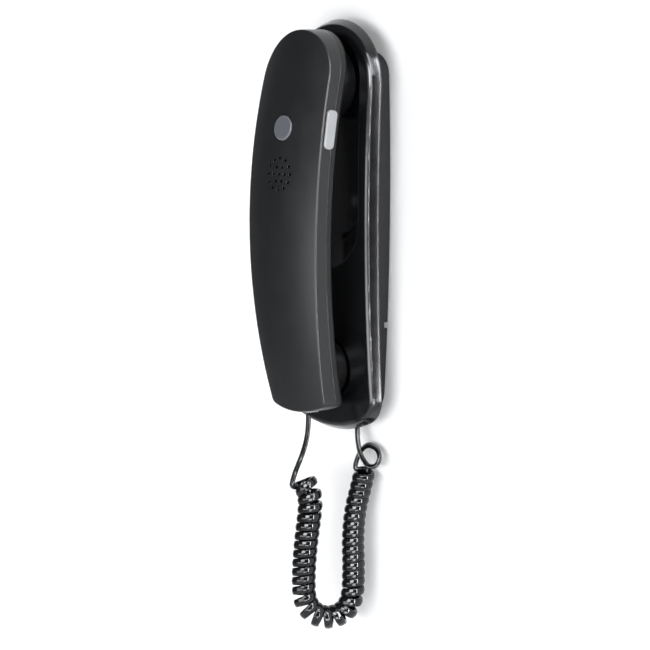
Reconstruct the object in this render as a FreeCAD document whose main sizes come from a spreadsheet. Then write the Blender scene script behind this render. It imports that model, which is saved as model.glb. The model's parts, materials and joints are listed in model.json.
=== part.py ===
import FreeCAD, Part
import math
import os
import re

import Sketcher
from FreeCAD import Placement, Rotation, Vector

# Frame: X to the viewer's right, -Y out of the wall, +Z up. The origin is on the wall, at the middle
# of the base. A depth is a distance from the wall, so a point at depth d has Y = -d.

SIZES = {
    # Handset, seen from the front: two long side arcs, a round top and a shallow arc below
    "handset_half_width": 25.3,
    "handset_wide_z": 27.0,
    "handset_side_radius": 1100.0,
    "handset_top": 96.5,
    "handset_bottom": 92.3,
    "handset_bottom_sag": 3.7,
    "handset_corner_round": 3.5,
    # Handset, seen from the side: three bows, with their depths at bow_z. A drop is a distance behind
    # the depth of the front.
    "bow_z": -3.0,
    "front_depth": 49.6,
    "front_bow_radius": 320.0,
    "front_cross_radius": 91.4,
    "parting_drop": 10.0,
    "parting_bow_radius": 310.0,
    "rear_drop": 14.7,
    "rear_bow_radius": 293.0,
    "handset_wall": 1.8,
    "parting_gap": 0.1,
    "boss_step": 0.3,
    "front_edge_round": 0.8,
    "rear_edge_round": 2.2,
    # Ear cup and mouth cup
    "ear_z": 70.5,
    "ear_cup_radius": 19.0,
    "ear_cup_root_radius": 22.4,
    "ear_cup_depth": 13.5,
    "ear_hole_ring": 4.0,
    "mouth_z": -71.5,
    "mouth_cup_radius": 14.2,
    "mouth_cup_root_radius": 16.8,
    "mouth_cup_depth": 14.5,
    "mouth_hole_ring": 3.2,
    "cup_edge_round": 2.4,
    "cup_hole_radius": 0.8,
    "seat_rib": 1.2,
    "seat_rib_height": 5.0,
    # Round button on the front
    "front_button_z": 48.3,
    "front_button_radius": 6.2,
    "front_button_travel": 0.8,
    "button_gap": 0.3,
    "button_proud": 0.5,
    "button_round": 0.4,
    "button_flange": 0.8,
    "button_flange_lip": 1.0,
    "button_flange_drop": 0.65,
    # Long button on the right side
    "side_button_z": 47.8,
    "side_button_drop": 12.6,
    "side_button_length": 19.2,
    "side_button_width": 6.1,
    "side_button_corner": 2.2,
    "side_button_travel": 0.7,
    "side_flange_lip": 0.6,
    "side_flange_gap": 0.2,
    "side_button_proud": 0.8,
    "switch_gap": 0.15,
    "switch_overlap": 1.5,
    # Ringer grille, its holes on two rings
    "grille_z": 25.7,
    "grille_ring": 3.9,
    "grille_hole_radius": 0.75,
    # Inside the handset
    "board_thickness": 1.2,
    "handset_board_drop": 11.0,
    "handset_board_half_width": 14.5,
    "handset_board_top": 55.5,
    "handset_board_bottom": 41.0,
    "switch_width": 6.0,
    "front_switch_height": 0.6,
    "side_switch_height": 3.0,
    "switch_nub": 0.3,
    "switch_nub_radius": 1.5,
    "ringer_radius": 10.0,
    "ringer_height": 3.6,
    "ringer_gap": 1.3,
    "earpiece_radius": 13.0,
    "earpiece_height": 6.5,
    "seal_thickness": 1.0,
    "seal_width": 3.0,
    "microphone_radius": 4.85,
    "microphone_height": 5.0,
    "boot_wall": 1.4,
    "boot_floor": 0.6,
    "weight_half_width": 11.5,
    "weight_height": 20.0,
    "weight_thickness": 5.0,
    "weight_z": -55.0,
    "weight_drop": 14.2,
    "weight_rib_x": 8.0,
    "weight_rib_width": 2.0,
    "shell_screw_x": 18.4,
    "shell_screw_z": 10.0,
    "lower_shell_screw_x": 16.4,
    "lower_shell_screw_z": -52.0,
    "shell_screw_length": 6.0,
    "handset_board_screw_x": 11.5,
    "handset_board_screw_z": 4.0,
    "lower_board_screw_z": -34.0,
    # Jacks and plugs of the curly cord
    "plug_width": 7.7,
    "plug_thickness": 6.6,
    "plug_length": 11.0,
    "plug_proud": 0.5,
    "plug_gap": 0.15,
    "latch_width": 3.0,
    "latch_thickness": 0.9,
    "latch_step": 1.0,
    "jack_wall": 1.5,
    "jack_length": 12.4,
    "jack_gap": 0.2,
    "handset_jack_drop": 20.7,
    "base_jack_depth": 6.0,
    "base_jack_x": 10.9,
    # Base, seen from the front, at rim_plane
    "rim_plane": 7.5,
    "cutting_step": 1.0,
    "cutting_margin": 12.0,
    "base_half_width": 34.8,
    "base_wide_z": 10.0,
    "base_side_radius": 2600.0,
    "base_top": 101.7,
    "base_bottom": 103.0,
    "base_corner": 15.0,
    "base_bottom_radius": 64.0,
    "base_draft": 24.0,
    "base_wall": 2.0,
    # Base, seen from the side: the face and the rim are bows
    "face_depth": 18.0,
    "face_bow_z": 5.0,
    "face_bow_radius": 1050.0,
    "rim_depth": 11.7,
    "rim_bow_z": 0.0,
    "rim_bow_radius": 1340.0,
    "base_edge_round": 2.6,
    # Recess for the ear cup and the fingers, with a ramp at its lower end
    "recess_mouth_depth": 19.0,
    "recess_ear_radius": 24.3,
    "recess_grip_z": 1.0,
    "recess_grip_radius": 25.4,
    "recess_step_depth": 10.6,
    "recess_step_ear_radius": 21.9,
    "recess_floor_depth": 8.0,
    "recess_floor_radius": 16.5,
    "recess_floor_low_z": 12.0,
    "recess_floor_high_z": 46.0,
    "recess_wall": 1.6,
    "recess_overlap": 0.2,
    "recess_floor_slope": 1.0,
    "tub_gap": 0.5,
    "mouth_recess_depth": 12.8,
    "mouth_recess_gap": 1.2,
    # Back housing
    "skirt_half_width": 28.6,
    "skirt_wide_z": 25.0,
    "skirt_side_radius": 1500.0,
    "skirt_top": 86.5,
    "skirt_bottom": 95.0,
    "skirt_corner": 12.0,
    "skirt_end_radius": 160.0,
    "skirt_wall": 1.8,
    "skirt_lift": 0.3,
    "brim_thickness": 1.6,
    "fit_gap": 0.2,
    "back_wall": 1.6,
    "bracket_recess": 3.0,
    "bracket_recess_bottom": 40.0,
    "catch_half_width": 6.0,
    "catch_z": 95.0,
    "catch_thickness": 1.0,
    "side_notch_z": -49.6,
    "side_notch_height": 2.8,
    "side_notch_depth": 2.6,
    "side_notch_x": 24.5,
    # Wall bracket
    "bracket_thickness": 2.0,
    "bracket_half_width": 15.0,
    "bracket_top": 60.0,
    "bracket_bottom": 37.0,
    "wall_screw_spacing": 60.0,
    "wall_screw_hole_radius": 2.1,
    "cable_hole_width": 18.0,
    "cable_hole_height": 14.0,
    "hook_x": 10.0,
    "hook_z": 48.0,
    "lower_hook_z": -33.0,
    "hook_width": 6.0,
    "hook_stem": 2.0,
    "hook_lip": 3.5,
    "hook_lip_thickness": 1.3,
    # Screws between the back housing and the base housing
    "housing_screw_x": 18.5,
    "housing_screw_z": -35.0,
    "lower_housing_screw_z": -74.0,
    "housing_screw_seat": 4.6,
    "housing_screw_length": 7.6,
    "boss_radius": 2.8,
    "boss_wall": 0.9,
    "bore_spare": 0.2,
    "head_sink": 1.0,
    "screw_shank_radius": 1.4,
    "screw_head_radius": 2.6,
    "screw_head_height": 1.7,
    "head_gap": 0.3,
    "shank_gap": 0.05,
    "small_shank_radius": 1.1,
    "small_head_radius": 2.2,
    "small_head_height": 1.3,
    "small_screw_length": 3.6,
    # Inside the base
    "base_board_depth": 3.6,
    "base_board_half_width": 13.4,
    "base_board_top": 43.5,
    "base_board_bottom": 80.0,
    "base_board_screw_x": 10.5,
    "base_board_screw_z": -56.5,
    "lower_base_board_screw_z": -76.0,
    "terminal_width": 24.0,
    "terminal_height": 8.0,
    "terminal_thickness": 7.0,
    "terminal_z": -48.6,
    "terminal_screw_step": 5.6,
    "terminal_screw_radius": 1.4,
    "terminal_screw_depth": 9.6,
    "terminal_screw_proud": 0.5,
    "terminal_wire_hole": 2.6,
    "terminal_wire_depth": 6.4,
    "terminal_wire_length": 5.0,
    "capacitor_x": -7.5,
    "capacitor_z": -66.5,
    "capacitor_radius": 2.5,
    "capacitor_height": 4.4,
    "chip_z": -72.0,
    "chip_width": 6.0,
    "chip_height": 1.5,
    "hook_switch_x": 2.9,
    "hook_switch_height": 1.8,
    "plunger_z": -62.0,
    "plunger_radius": 2.2,
    "plunger_hole_gap": 0.2,
    "plunger_tip_gap": 0.3,
    "plunger_flange_radius": 3.6,
    "plunger_flange": 1.0,
    "plunger_flange_depth": 6.8,
    "plunger_stem_radius": 1.0,
    "plunger_stem_end": 2.3,
    "spring_radius": 1.9,
    "spring_wire_radius": 0.15,
    "spring_turns": 3.0,
    # Tab on which the ear cup hangs
    "cradle_hook_z": 86.5,
    "cradle_hook_half_width": 3.5,
    "cradle_hook_thickness": 1.6,
    "cradle_hook_tip": 16.5,
    "cradle_hook_gap": 0.3,
    "cradle_plate_bottom": 79.5,
    "cradle_plate_thickness": 1.2,
    "cradle_peg_z": 81.6,
    "cradle_peg_radius": 1.4,
    # Curly cord
    "cord_diameter": 3.2,
    "left_coil_diameter": 13.5,
    "right_coil_diameter": 11.8,
    "right_leg_x": 13.2,
    "right_leg_depth": 8.2,
    "left_pitch": 4.4,
    "right_pitch": 4.1,
    "bend_pitch": 6.45,
    "first_pitch": 5.8,
    "first_turns_length": 20.0,
    "pitch_blend": 5.0,
    "bend_start_z": -183.0,
    "coil_entry": 3.6,
    "coil_exit": 4.8,
    "coil_end": 2.2,
}

doc = FreeCAD.newDocument("wall_phone")
sheet = doc.addObject("Spreadsheet::Sheet", "sizes")
for row, (alias, number) in enumerate(SIZES.items(), start=1):
    sheet.set(f"A{row}", alias)
    sheet.set(f"B{row}", str(number))
    sheet.setAlias(f"B{row}", alias)
doc.recompute()

ORIGIN = (-1, 1)
START, END, CENTRE = range(1, 4)
VERTICAL_AXIS = -2
FORWARD = Rotation(Vector(1, 0, 0), 90)
BARREL_ANGLE = 70.0
CROSS_AXIS = "front_cross_radius - front_depth"


def size(alias):
    """A size as the sheet holds it."""
    return float(sheet.get(alias))


def bind(thing, path, text):
    """Ties a property to an expression in which a bare alias means a cell of the sheet."""
    words = re.sub(r"[a-z][a-z_0-9]*", lambda m: "sizes." + m[0] if m[0] in SIZES else m[0], str(text))
    thing.setExpression(path, words)


def less(text, inset):
    return f"{text} - ({inset})" if inset else text


def amount(text):
    """The number behind a sum of aliases."""
    terms = re.findall(r"([-+]?) *([a-z_]+)", text)
    return sum(-size(alias) if sign == "-" else size(alias) for sign, alias in terms)


def bowed(depth, radius, z, middle="bow_z"):
    """The depth of a bow at height z, as an expression."""
    return f"({depth} - {radius} + sqrt(({radius})^2 - ({z} - ({middle}))^2))"


def bowed_number(depth, radius, z, middle="bow_z"):
    return amount(depth) - size(radius) + math.sqrt(size(radius) ** 2 - (z - size(middle)) ** 2)


# Sketches


def new_sketch(body, name, role, offset=None):
    """A sketch on an origin plane of the body, moved along the plane's normal by an expression."""
    sketch = body.newObject("Sketcher::SketchObject", name)
    plane = next(f for f in body.Origin.OriginFeatures if f.Role == role)
    sketch.AttachmentSupport = [(plane, "")]
    sketch.MapMode = "FlatFace"
    if offset:
        bind(sketch, "AttachmentOffset.Base.z", offset)
    return sketch


def relate(sketch, kind, *args):
    sketch.addConstraint(Sketcher.Constraint(kind, *args))


def across(sketch, a, b, text):
    """Ties how far point b lies to the right of point a."""
    now = sketch.getPoint(*b).x - sketch.getPoint(*a).x
    index = sketch.addConstraint(Sketcher.Constraint("DistanceX", *a, *b, now))
    bind(sketch, f"Constraints[{index}]", text)


def above(sketch, a, b, text):
    """Ties how far point b lies above point a."""
    now = sketch.getPoint(*b).y - sketch.getPoint(*a).y
    index = sketch.addConstraint(Sketcher.Constraint("DistanceY", *a, *b, now))
    bind(sketch, f"Constraints[{index}]", text)


def round_to(sketch, arc, text):
    index = sketch.addConstraint(Sketcher.Constraint("Radius", arc, sketch.Geometry[arc].Radius))
    bind(sketch, f"Constraints[{index}]", text)


def mark_on_axis(sketch, arc, z, text):
    """Fixes the height at which an arc crosses the vertical axis."""
    point = sketch.addGeometry(Part.Point(Vector(0, z, 0)), True)
    relate(sketch, "PointOnObject", point, START, arc)
    relate(sketch, "PointOnObject", point, START, VERTICAL_AXIS)
    above(sketch, ORIGIN, (point, START), text)


def angle_to(centre, point):
    return math.atan2(point[1] - centre[1], point[0] - centre[0])


def add_arc(sketch, centre, radius, first, last):
    """An arc, anticlockwise, between two points near it."""
    circle = Part.Circle(Vector(*centre, 0), Vector(0, 0, 1), radius)
    return sketch.addGeometry(Part.ArcOfCircle(circle, angle_to(centre, first), angle_to(centre, last)))


def inner_touch(big, big_radius, small):
    """Where a circle touches a smaller one inside it, from their centres."""
    away = math.hypot(small[0] - big[0], small[1] - big[1])
    return tuple(b + (s - b) * big_radius / away for b, s in zip(big, small))


def circles_meet(a, a_radius, b, b_radius):
    """The lower and the upper meeting point of two circles that lie beside each other."""
    gap = math.hypot(b[0] - a[0], b[1] - a[1])
    along = (gap**2 + a_radius**2 - b_radius**2) / (2 * gap)
    aside = math.sqrt(a_radius**2 - along**2)
    ux, uy = (b[0] - a[0]) / gap, (b[1] - a[1]) / gap
    points = [(a[0] + along * ux + s * aside * uy, a[1] + along * uy - s * aside * ux) for s in (1, -1)]
    return sorted(points, key=lambda p: p[1])


def flip(point):
    return (-point[0], point[1])


def tie_sides(sketch, right, left, half, side_radius, wide_z):
    """Gives two mirrored side arcs their radius, their width and the height of their widest place."""
    relate(sketch, "Equal", right, left)
    relate(sketch, "Symmetric", right, CENTRE, left, CENTRE, VERTICAL_AXIS)
    round_to(sketch, right, side_radius)
    across(sketch, (right, CENTRE), ORIGIN, f"{side_radius} - ({half})")
    above(sketch, ORIGIN, (right, CENTRE), wide_z)


def handset_outline(body, name, inset, offset=None):
    """The handset from the front: side arcs, a round top tangent to them and a shallow bottom arc."""
    sketch = new_sketch(body, name, "XZ_Plane", offset)
    cut = amount(inset)
    half, side = size("handset_half_width") - cut, size("handset_side_radius") - cut
    top, bottom = size("handset_top") - cut, -size("handset_bottom") + cut
    right_centre = (half - side, size("handset_wide_z"))
    rise = top - right_centre[1]
    top_radius = (side**2 - right_centre[0] ** 2 - rise**2) / (2 * (side - rise))
    top_centre = (0, top - top_radius)
    shoulder = inner_touch(right_centre, side, top_centre)
    corner_z = bottom + size("handset_bottom_sag")
    corner = (right_centre[0] + math.sqrt(side**2 - (corner_z - right_centre[1]) ** 2), corner_z)
    sag = size("handset_bottom_sag")
    bottom_radius = (corner[0] ** 2 + sag**2) / (2 * sag)
    right = add_arc(sketch, right_centre, side, corner, shoulder)
    crown = add_arc(sketch, top_centre, top_radius, shoulder, flip(shoulder))
    left = add_arc(sketch, flip(right_centre), side, flip(shoulder), flip(corner))
    foot = add_arc(sketch, (0, bottom + bottom_radius), bottom_radius, flip(corner), corner)
    relate(sketch, "Tangent", right, END, crown, START)
    relate(sketch, "Tangent", crown, END, left, START)
    relate(sketch, "Coincident", left, END, foot, START)
    relate(sketch, "Coincident", foot, END, right, START)
    relate(sketch, "PointOnObject", foot, CENTRE, VERTICAL_AXIS)
    tie_sides(sketch, right, left, less("handset_half_width", inset), less("handset_side_radius", inset),
              "handset_wide_z")
    mark_on_axis(sketch, crown, top, less("handset_top", inset))
    mark_on_axis(sketch, foot, bottom, "-(" + less("handset_bottom", inset) + ")")
    above(sketch, (foot, END), ORIGIN, less("handset_bottom", inset) + " - handset_bottom_sag")
    return sketch


def base_outline(body, name, inset, offset=None):
    """The base from the front: side arcs, a round top, and a shallow bottom arc with round corners."""
    sketch = new_sketch(body, name, "XZ_Plane", offset)
    cut = amount(inset)
    half, side = size("base_half_width") - cut, size("base_side_radius") - cut
    top, bottom = size("base_top") - cut, -size("base_bottom") + cut
    corner_radius, foot_radius = size("base_corner") - cut, size("base_bottom_radius") - cut
    right_centre, foot_centre = (half - side, size("base_wide_z")), (0, bottom + foot_radius)
    rise = top - right_centre[1]
    top_radius = (side**2 - right_centre[0] ** 2 - rise**2) / (2 * (side - rise))
    top_centre = (0, top - top_radius)
    shoulder = inner_touch(right_centre, side, top_centre)
    corner_centre = circles_meet(right_centre, side - corner_radius, foot_centre,
                                 foot_radius - corner_radius)[0]
    hip = inner_touch(right_centre, side, corner_centre)
    heel = inner_touch(foot_centre, foot_radius, corner_centre)
    right = add_arc(sketch, right_centre, side, hip, shoulder)
    crown = add_arc(sketch, top_centre, top_radius, shoulder, flip(shoulder))
    left = add_arc(sketch, flip(right_centre), side, flip(shoulder), flip(hip))
    left_corner = add_arc(sketch, flip(corner_centre), corner_radius, flip(hip), flip(heel))
    foot = add_arc(sketch, foot_centre, foot_radius, flip(heel), heel)
    right_corner = add_arc(sketch, corner_centre, corner_radius, heel, hip)
    loop = [right, crown, left, left_corner, foot, right_corner, right]
    for a, b in zip(loop, loop[1:]):
        relate(sketch, "Tangent", a, END, b, START)
    relate(sketch, "Equal", left_corner, right_corner)
    relate(sketch, "PointOnObject", foot, CENTRE, VERTICAL_AXIS)
    tie_sides(sketch, right, left, less("base_half_width", inset), less("base_side_radius", inset),
              "base_wide_z")
    round_to(sketch, right_corner, less("base_corner", inset))
    round_to(sketch, foot, less("base_bottom_radius", inset))
    mark_on_axis(sketch, crown, top, less("base_top", inset))
    mark_on_axis(sketch, foot, bottom, "-(" + less("base_bottom", inset) + ")")
    return sketch


def skirt_outline(body, name, inset, offset=None):
    """The back housing from the front: side arcs, and nearly flat ends with round corners."""
    sketch = new_sketch(body, name, "XZ_Plane", offset)
    cut = amount(inset)
    half, side = size("skirt_half_width") - cut, size("skirt_side_radius") - cut
    top, bottom = size("skirt_top") - cut, -size("skirt_bottom") + cut
    corner_radius, end_radius = size("skirt_corner") - cut, size("skirt_end_radius") - cut
    right_centre = (half - side, size("skirt_wide_z"))
    head_centre, foot_centre = (0, top - end_radius), (0, bottom + end_radius)
    upper = circles_meet(right_centre, side - corner_radius, head_centre, end_radius - corner_radius)[1]
    lower = circles_meet(right_centre, side - corner_radius, foot_centre, end_radius - corner_radius)[0]
    shoulder, hip = inner_touch(right_centre, side, upper), inner_touch(right_centre, side, lower)
    brow, heel = inner_touch(head_centre, end_radius, upper), inner_touch(foot_centre, end_radius, lower)
    right = add_arc(sketch, right_centre, side, hip, shoulder)
    upper_right = add_arc(sketch, upper, corner_radius, shoulder, brow)
    head = add_arc(sketch, head_centre, end_radius, brow, flip(brow))
    upper_left = add_arc(sketch, flip(upper), corner_radius, flip(brow), flip(shoulder))
    left = add_arc(sketch, flip(right_centre), side, flip(shoulder), flip(hip))
    lower_left = add_arc(sketch, flip(lower), corner_radius, flip(hip), flip(heel))
    foot = add_arc(sketch, foot_centre, end_radius, flip(heel), heel)
    lower_right = add_arc(sketch, lower, corner_radius, heel, hip)
    loop = [right, upper_right, head, upper_left, left, lower_left, foot, lower_right, right]
    for a, b in zip(loop, loop[1:]):
        relate(sketch, "Tangent", a, END, b, START)
    for corner in (upper_left, lower_left, lower_right):
        relate(sketch, "Equal", upper_right, corner)
    relate(sketch, "Equal", head, foot)
    relate(sketch, "PointOnObject", head, CENTRE, VERTICAL_AXIS)
    relate(sketch, "PointOnObject", foot, CENTRE, VERTICAL_AXIS)
    tie_sides(sketch, right, left, less("skirt_half_width", inset), less("skirt_side_radius", inset),
              "skirt_wide_z")
    round_to(sketch, upper_right, less("skirt_corner", inset))
    round_to(sketch, head, less("skirt_end_radius", inset))
    mark_on_axis(sketch, head, top, less("skirt_top", inset))
    mark_on_axis(sketch, foot, bottom, "-(" + less("skirt_bottom", inset) + ")")
    return sketch


def shifted(text, shift, sign):
    """The text and the number of a size that a sum of sizes makes larger (1) or smaller (-1)."""
    if not shift:
        return text, amount(text)
    return f"{text} {'+' if sign > 0 else '-'} ({shift})", amount(text) + sign * amount(shift)


def bow_region(body, name, bow, keep, shift, sign):
    """In the plane X = 0, what lies behind a bow, or in front of it where the back is kept."""
    sketch = new_sketch(body, name, "YZ_Plane")
    deep, deep_number = shifted(bow[0], shift, sign)
    curve, curve_number = shifted(bow[1], shift, sign)
    middle = size(bow[2])
    reach = size("base_bottom") + size("cutting_margin")
    outer, far = "-cutting_margin", size("cutting_margin")
    if keep == "back":
        outer, far = "front_depth + cutting_margin", -size("front_depth") - size("cutting_margin")
    centre = (curve_number - deep_number, middle)
    ends = [centre[0] - math.sqrt(curve_number**2 - (z - middle) ** 2) for z in (reach, -reach)]
    arc = add_arc(sketch, centre, curve_number, (ends[0], reach), (ends[1], -reach))
    corners = [(ends[1], -reach), (far, -reach), (far, reach), (ends[0], reach)]
    low, side, high = [
        sketch.addGeometry(Part.LineSegment(Vector(*a, 0), Vector(*b, 0)))
        for a, b in zip(corners, corners[1:])
    ]
    loop = [arc, low, side, high, arc]
    for a, b in zip(loop, loop[1:]):
        relate(sketch, "Coincident", a, END, b, START)
    relate(sketch, "Horizontal", low)
    relate(sketch, "Horizontal", high)
    relate(sketch, "Vertical", side)
    round_to(sketch, arc, curve)
    across(sketch, ORIGIN, (arc, CENTRE), f"{curve} - ({deep})")
    above(sketch, ORIGIN, (arc, CENTRE), bow[2])
    across(sketch, ORIGIN, (side, START), f"-({outer})")
    above(sketch, ORIGIN, (side, END), "base_bottom + cutting_margin")
    above(sketch, (side, START), ORIGIN, "base_bottom + cutting_margin")
    return sketch


def stadium(body, name, offset, low_z, low_radius, high_z, high_radius):
    """Two arcs, one above the other, with tangent sides; each size is a text and its number."""
    sketch = new_sketch(body, name, "XZ_Plane", offset)
    lean = math.asin((low_radius[1] - high_radius[1]) / (high_z[1] - low_z[1]))
    low_right, high_right = [
        (radius * math.cos(lean), z + radius * math.sin(lean))
        for z, radius in ((low_z[1], low_radius[1]), (high_z[1], high_radius[1]))
    ]
    lower = add_arc(sketch, (0, low_z[1]), low_radius[1], flip(low_right), low_right)
    right = sketch.addGeometry(Part.LineSegment(Vector(*low_right, 0), Vector(*high_right, 0)))
    upper = add_arc(sketch, (0, high_z[1]), high_radius[1], high_right, flip(high_right))
    left = sketch.addGeometry(Part.LineSegment(Vector(*flip(high_right), 0), Vector(*flip(low_right), 0)))
    loop = [lower, right, upper, left, lower]
    for a, b in zip(loop, loop[1:]):
        relate(sketch, "Tangent", a, END, b, START)
    for arc, z, radius in ((lower, low_z, low_radius), (upper, high_z, high_radius)):
        relate(sketch, "PointOnObject", arc, CENTRE, VERTICAL_AXIS)
        above(sketch, ORIGIN, (arc, CENTRE), z[0])
        round_to(sketch, arc, radius[0])
    return sketch


def pad(body, sketch, length, taper=None):
    feature = body.newObject("PartDesign::Pad", sketch.Name + "_pad")
    feature.Profile = sketch
    bind(feature, "Length", length)
    if taper:
        bind(feature, "TaperAngle", taper)
    return feature


def check_cut(body, feature, before):
    doc.recompute()
    if not body.Shape.Volume < before - 1:
        raise ValueError(f"{feature.Name} cuts nothing")


def bow_cut(body, name, bow, keep, shift="", sign=1):
    """Cuts a body along a bow that runs straight across, and keeps its front or its back."""
    sketch = bow_region(body, name, bow, keep, shift, sign)
    doc.recompute()
    before = body.Shape.Volume
    feature = body.newObject("PartDesign::Pocket", name + "_cut")
    feature.Profile = sketch
    feature.SideType = "Symmetric"
    bind(feature, "Length", "4 * base_half_width")
    check_cut(body, feature, before)


def barrel_cut(body, name, bow, shift="", sign=1):
    """Cuts away what lies in front of a face that bows both ways."""
    sketch = bow_region(body, name, bow, "back", shift, sign)
    reach = size("base_bottom")
    back = size("front_cross_radius") - size("front_depth")
    axis = sketch.addGeometry(Part.LineSegment(Vector(back, -reach, 0), Vector(back, reach, 0)), True)
    relate(sketch, "Vertical", axis)
    across(sketch, ORIGIN, (axis, START), CROSS_AXIS)
    above(sketch, (axis, START), ORIGIN, "base_bottom")
    above(sketch, ORIGIN, (axis, END), "base_bottom")
    doc.recompute()
    before = body.Shape.Volume
    feature = body.newObject("PartDesign::Groove", name + "_groove")
    feature.Profile = sketch
    feature.ReferenceAxis = (sketch, ["Axis0"])
    feature.Midplane = True
    feature.Angle = BARREL_ANGLE
    check_cut(body, feature, before)


def new_body(name):
    return doc.addObject("PartDesign::Body", name)


def round_edges(body, name, radius, chosen):
    """Rounds those edges of the body's last feature for which chosen(edge) is true."""
    doc.recompute()
    base = body.Tip
    edges = [f"Edge{i}" for i, edge in enumerate(base.Shape.Edges, start=1) if chosen(edge)]
    feature = body.newObject("PartDesign::Fillet", name)
    feature.Base = (base, edges)
    bind(feature, "Radius", radius)
    return feature


# Plain solids


def block(name, x, depth, z):
    """A box between pairs of expressions: in X, in depth and in height."""
    box = doc.addObject("Part::Box", name)
    bind(box, "Length", f"({x[1]}) - ({x[0]})")
    bind(box, "Width", f"({depth[1]}) - ({depth[0]})")
    bind(box, "Height", f"({z[1]}) - ({z[0]})")
    bind(box, "Placement.Base.x", x[0])
    bind(box, "Placement.Base.y", f"-({depth[1]})")
    bind(box, "Placement.Base.z", z[0])
    return box


def centred(middle, width):
    return f"({middle}) - ({width}) / 2", f"({middle}) + ({width}) / 2"


def stand(solid, x, z, near):
    """Turns a round solid to point out of the wall and puts its foot at depth near."""
    solid.Placement = Placement(Vector(), FORWARD)
    bind(solid, "Placement.Base.x", x)
    bind(solid, "Placement.Base.y", f"-({near})")
    bind(solid, "Placement.Base.z", z)


def rod(name, x, z, near, far, radius):
    """A round bar between two depths."""
    bar = doc.addObject("Part::Cylinder", name)
    bind(bar, "Radius", radius)
    bind(bar, "Height", f"({far}) - ({near})")
    stand(bar, x, z, near)
    return bar


def cone(name, x, z, near, far, near_radius, far_radius):
    form = doc.addObject("Part::Cone", name)
    bind(form, "Radius1", near_radius)
    bind(form, "Radius2", far_radius)
    bind(form, "Height", f"({far}) - ({near})")
    stand(form, x, z, near)
    return form


def fuse(name, *parts):
    union = doc.addObject("Part::MultiFuse", name)
    union.Shapes = list(parts)
    return union


def cut(name, base, *tools):
    result = doc.addObject("Part::Cut", name)
    result.Base = base
    result.Tool = tools[0] if len(tools) == 1 else fuse(name + "_tools", *tools)
    return result


def common(name, *parts):
    result = doc.addObject("Part::MultiCommon", name)
    result.Shapes = list(parts)
    return result


def group(name, parts):
    result = doc.addObject("Part::Compound", name)
    result.Links = list(parts)
    return result


def ring(name, x, z, near, far, outer, inner):
    return cut(name, rod(name + "_outer", x, z, near, far, outer),
               rod(name + "_inner", x, z, near, far, inner))


def hole_rings(name, z, near, far, radius, pitch, rings):
    """A round bar at the middle and six more on each further ring."""
    bars = [rod(name + "_0", "0", z, near, far, radius)]
    for step in range(1, rings + 1):
        for i in range(6 * step):
            angle = 60 * i / step
            x, up = f"{step} * {pitch} * cos({angle} deg)", f"{step} * {pitch} * sin({angle} deg)"
            bars.append(rod(f"{name}_{step}_{i}", x, f"{z} + {up}", near, far, radius))
    return bars


def screw(name, x, z, seat, length, kind="screw", from_behind=True):
    """A screw whose head bears on its seat, driven from the wall side or towards the wall."""
    head_near, head_far = f"{seat} - {kind}_head_height", seat
    shank_near, shank_far = seat, f"{seat} + {length}"
    if not from_behind:
        head_near, head_far = seat, f"{seat} + {kind}_head_height"
        shank_near, shank_far = f"{seat} - ({length})", seat
    head = rod(name + "_head", x, z, head_near, head_far, f"{kind}_head_radius")
    shank = rod(name + "_shank", x, z, shank_near, shank_far, f"{kind}_shank_radius")
    return fuse(name, head, shank)


def shank_bore(name, x, z, near, far, kind="screw"):
    return rod(name, x, z, near, far, f"{kind}_shank_radius + shank_gap")


NODES = []


def node(name, thing):
    """Names an object as one of the part's pieces."""
    thing.Label = name
    NODES.append(thing)
    return thing


# Handset shells


def front_at(z, x="0"):
    """The depth of the handset's front face."""
    bow_drop = f"(front_bow_radius - sqrt(front_bow_radius^2 - ({z} - bow_z)^2))"
    return f"(front_depth - front_cross_radius + sqrt((front_cross_radius - {bow_drop})^2 - ({x})^2))"


PARTING_DEPTH = "front_depth - parting_drop"
REAR_DEPTH = "front_depth - rear_drop"
BOARD_DEPTH = "front_depth - handset_board_drop"
WEIGHT_DEPTH = "front_depth - weight_drop"
HANDSET_JACK_DEPTH = "front_depth - handset_jack_drop"


def parting_at(z):
    return bowed(PARTING_DEPTH, "parting_bow_radius", z)


def rear_at(z):
    return bowed(REAR_DEPTH, "rear_bow_radius", z)


def along_depth(edge):
    a, b = edge.Vertexes[0].Point, edge.Vertexes[-1].Point
    return abs(a.x - b.x) + abs(a.z - b.z) < 0.01


def beside_bow(edge, bow, offset):
    """How far the middle of an edge lies in front of a bow, less an offset."""
    middle = edge.valueAt((edge.FirstParameter + edge.LastParameter) / 2)
    return -middle.y - bowed_number(bow[0], bow[1], middle.z, bow[2]) - offset


FRONT = ("front_depth", "front_bow_radius", "bow_z")
PARTING = (PARTING_DEPTH, "parting_bow_radius", "bow_z")
REAR = (REAR_DEPTH, "rear_bow_radius", "bow_z")
FACE = ("face_depth", "face_bow_radius", "face_bow_z")
RIM = ("rim_depth", "rim_bow_radius", "rim_bow_z")
EDGE_SEARCH = 2.0


def round_handset(body, radius, front):
    round_edges(body, body.Name + "_corners", "handset_corner_round",
                lambda e: along_depth(e) and e.CenterOfMass.z < -size("handset_bottom") / 2)
    sign = 1 if front else -1
    round_edges(body, body.Name + "_rim", radius,
                lambda e: not along_depth(e) and sign * beside_bow(e, PARTING, 0) > EDGE_SEARCH)


def handset_front_form():
    body = new_body("front_form")
    pad(body, handset_outline(body, "front_form_outline", ""), "front_depth + cutting_step")
    bow_cut(body, "front_form_parting", PARTING, "front")
    barrel_cut(body, "front_form_face", FRONT)
    round_handset(body, "front_edge_round", True)
    return body


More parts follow.
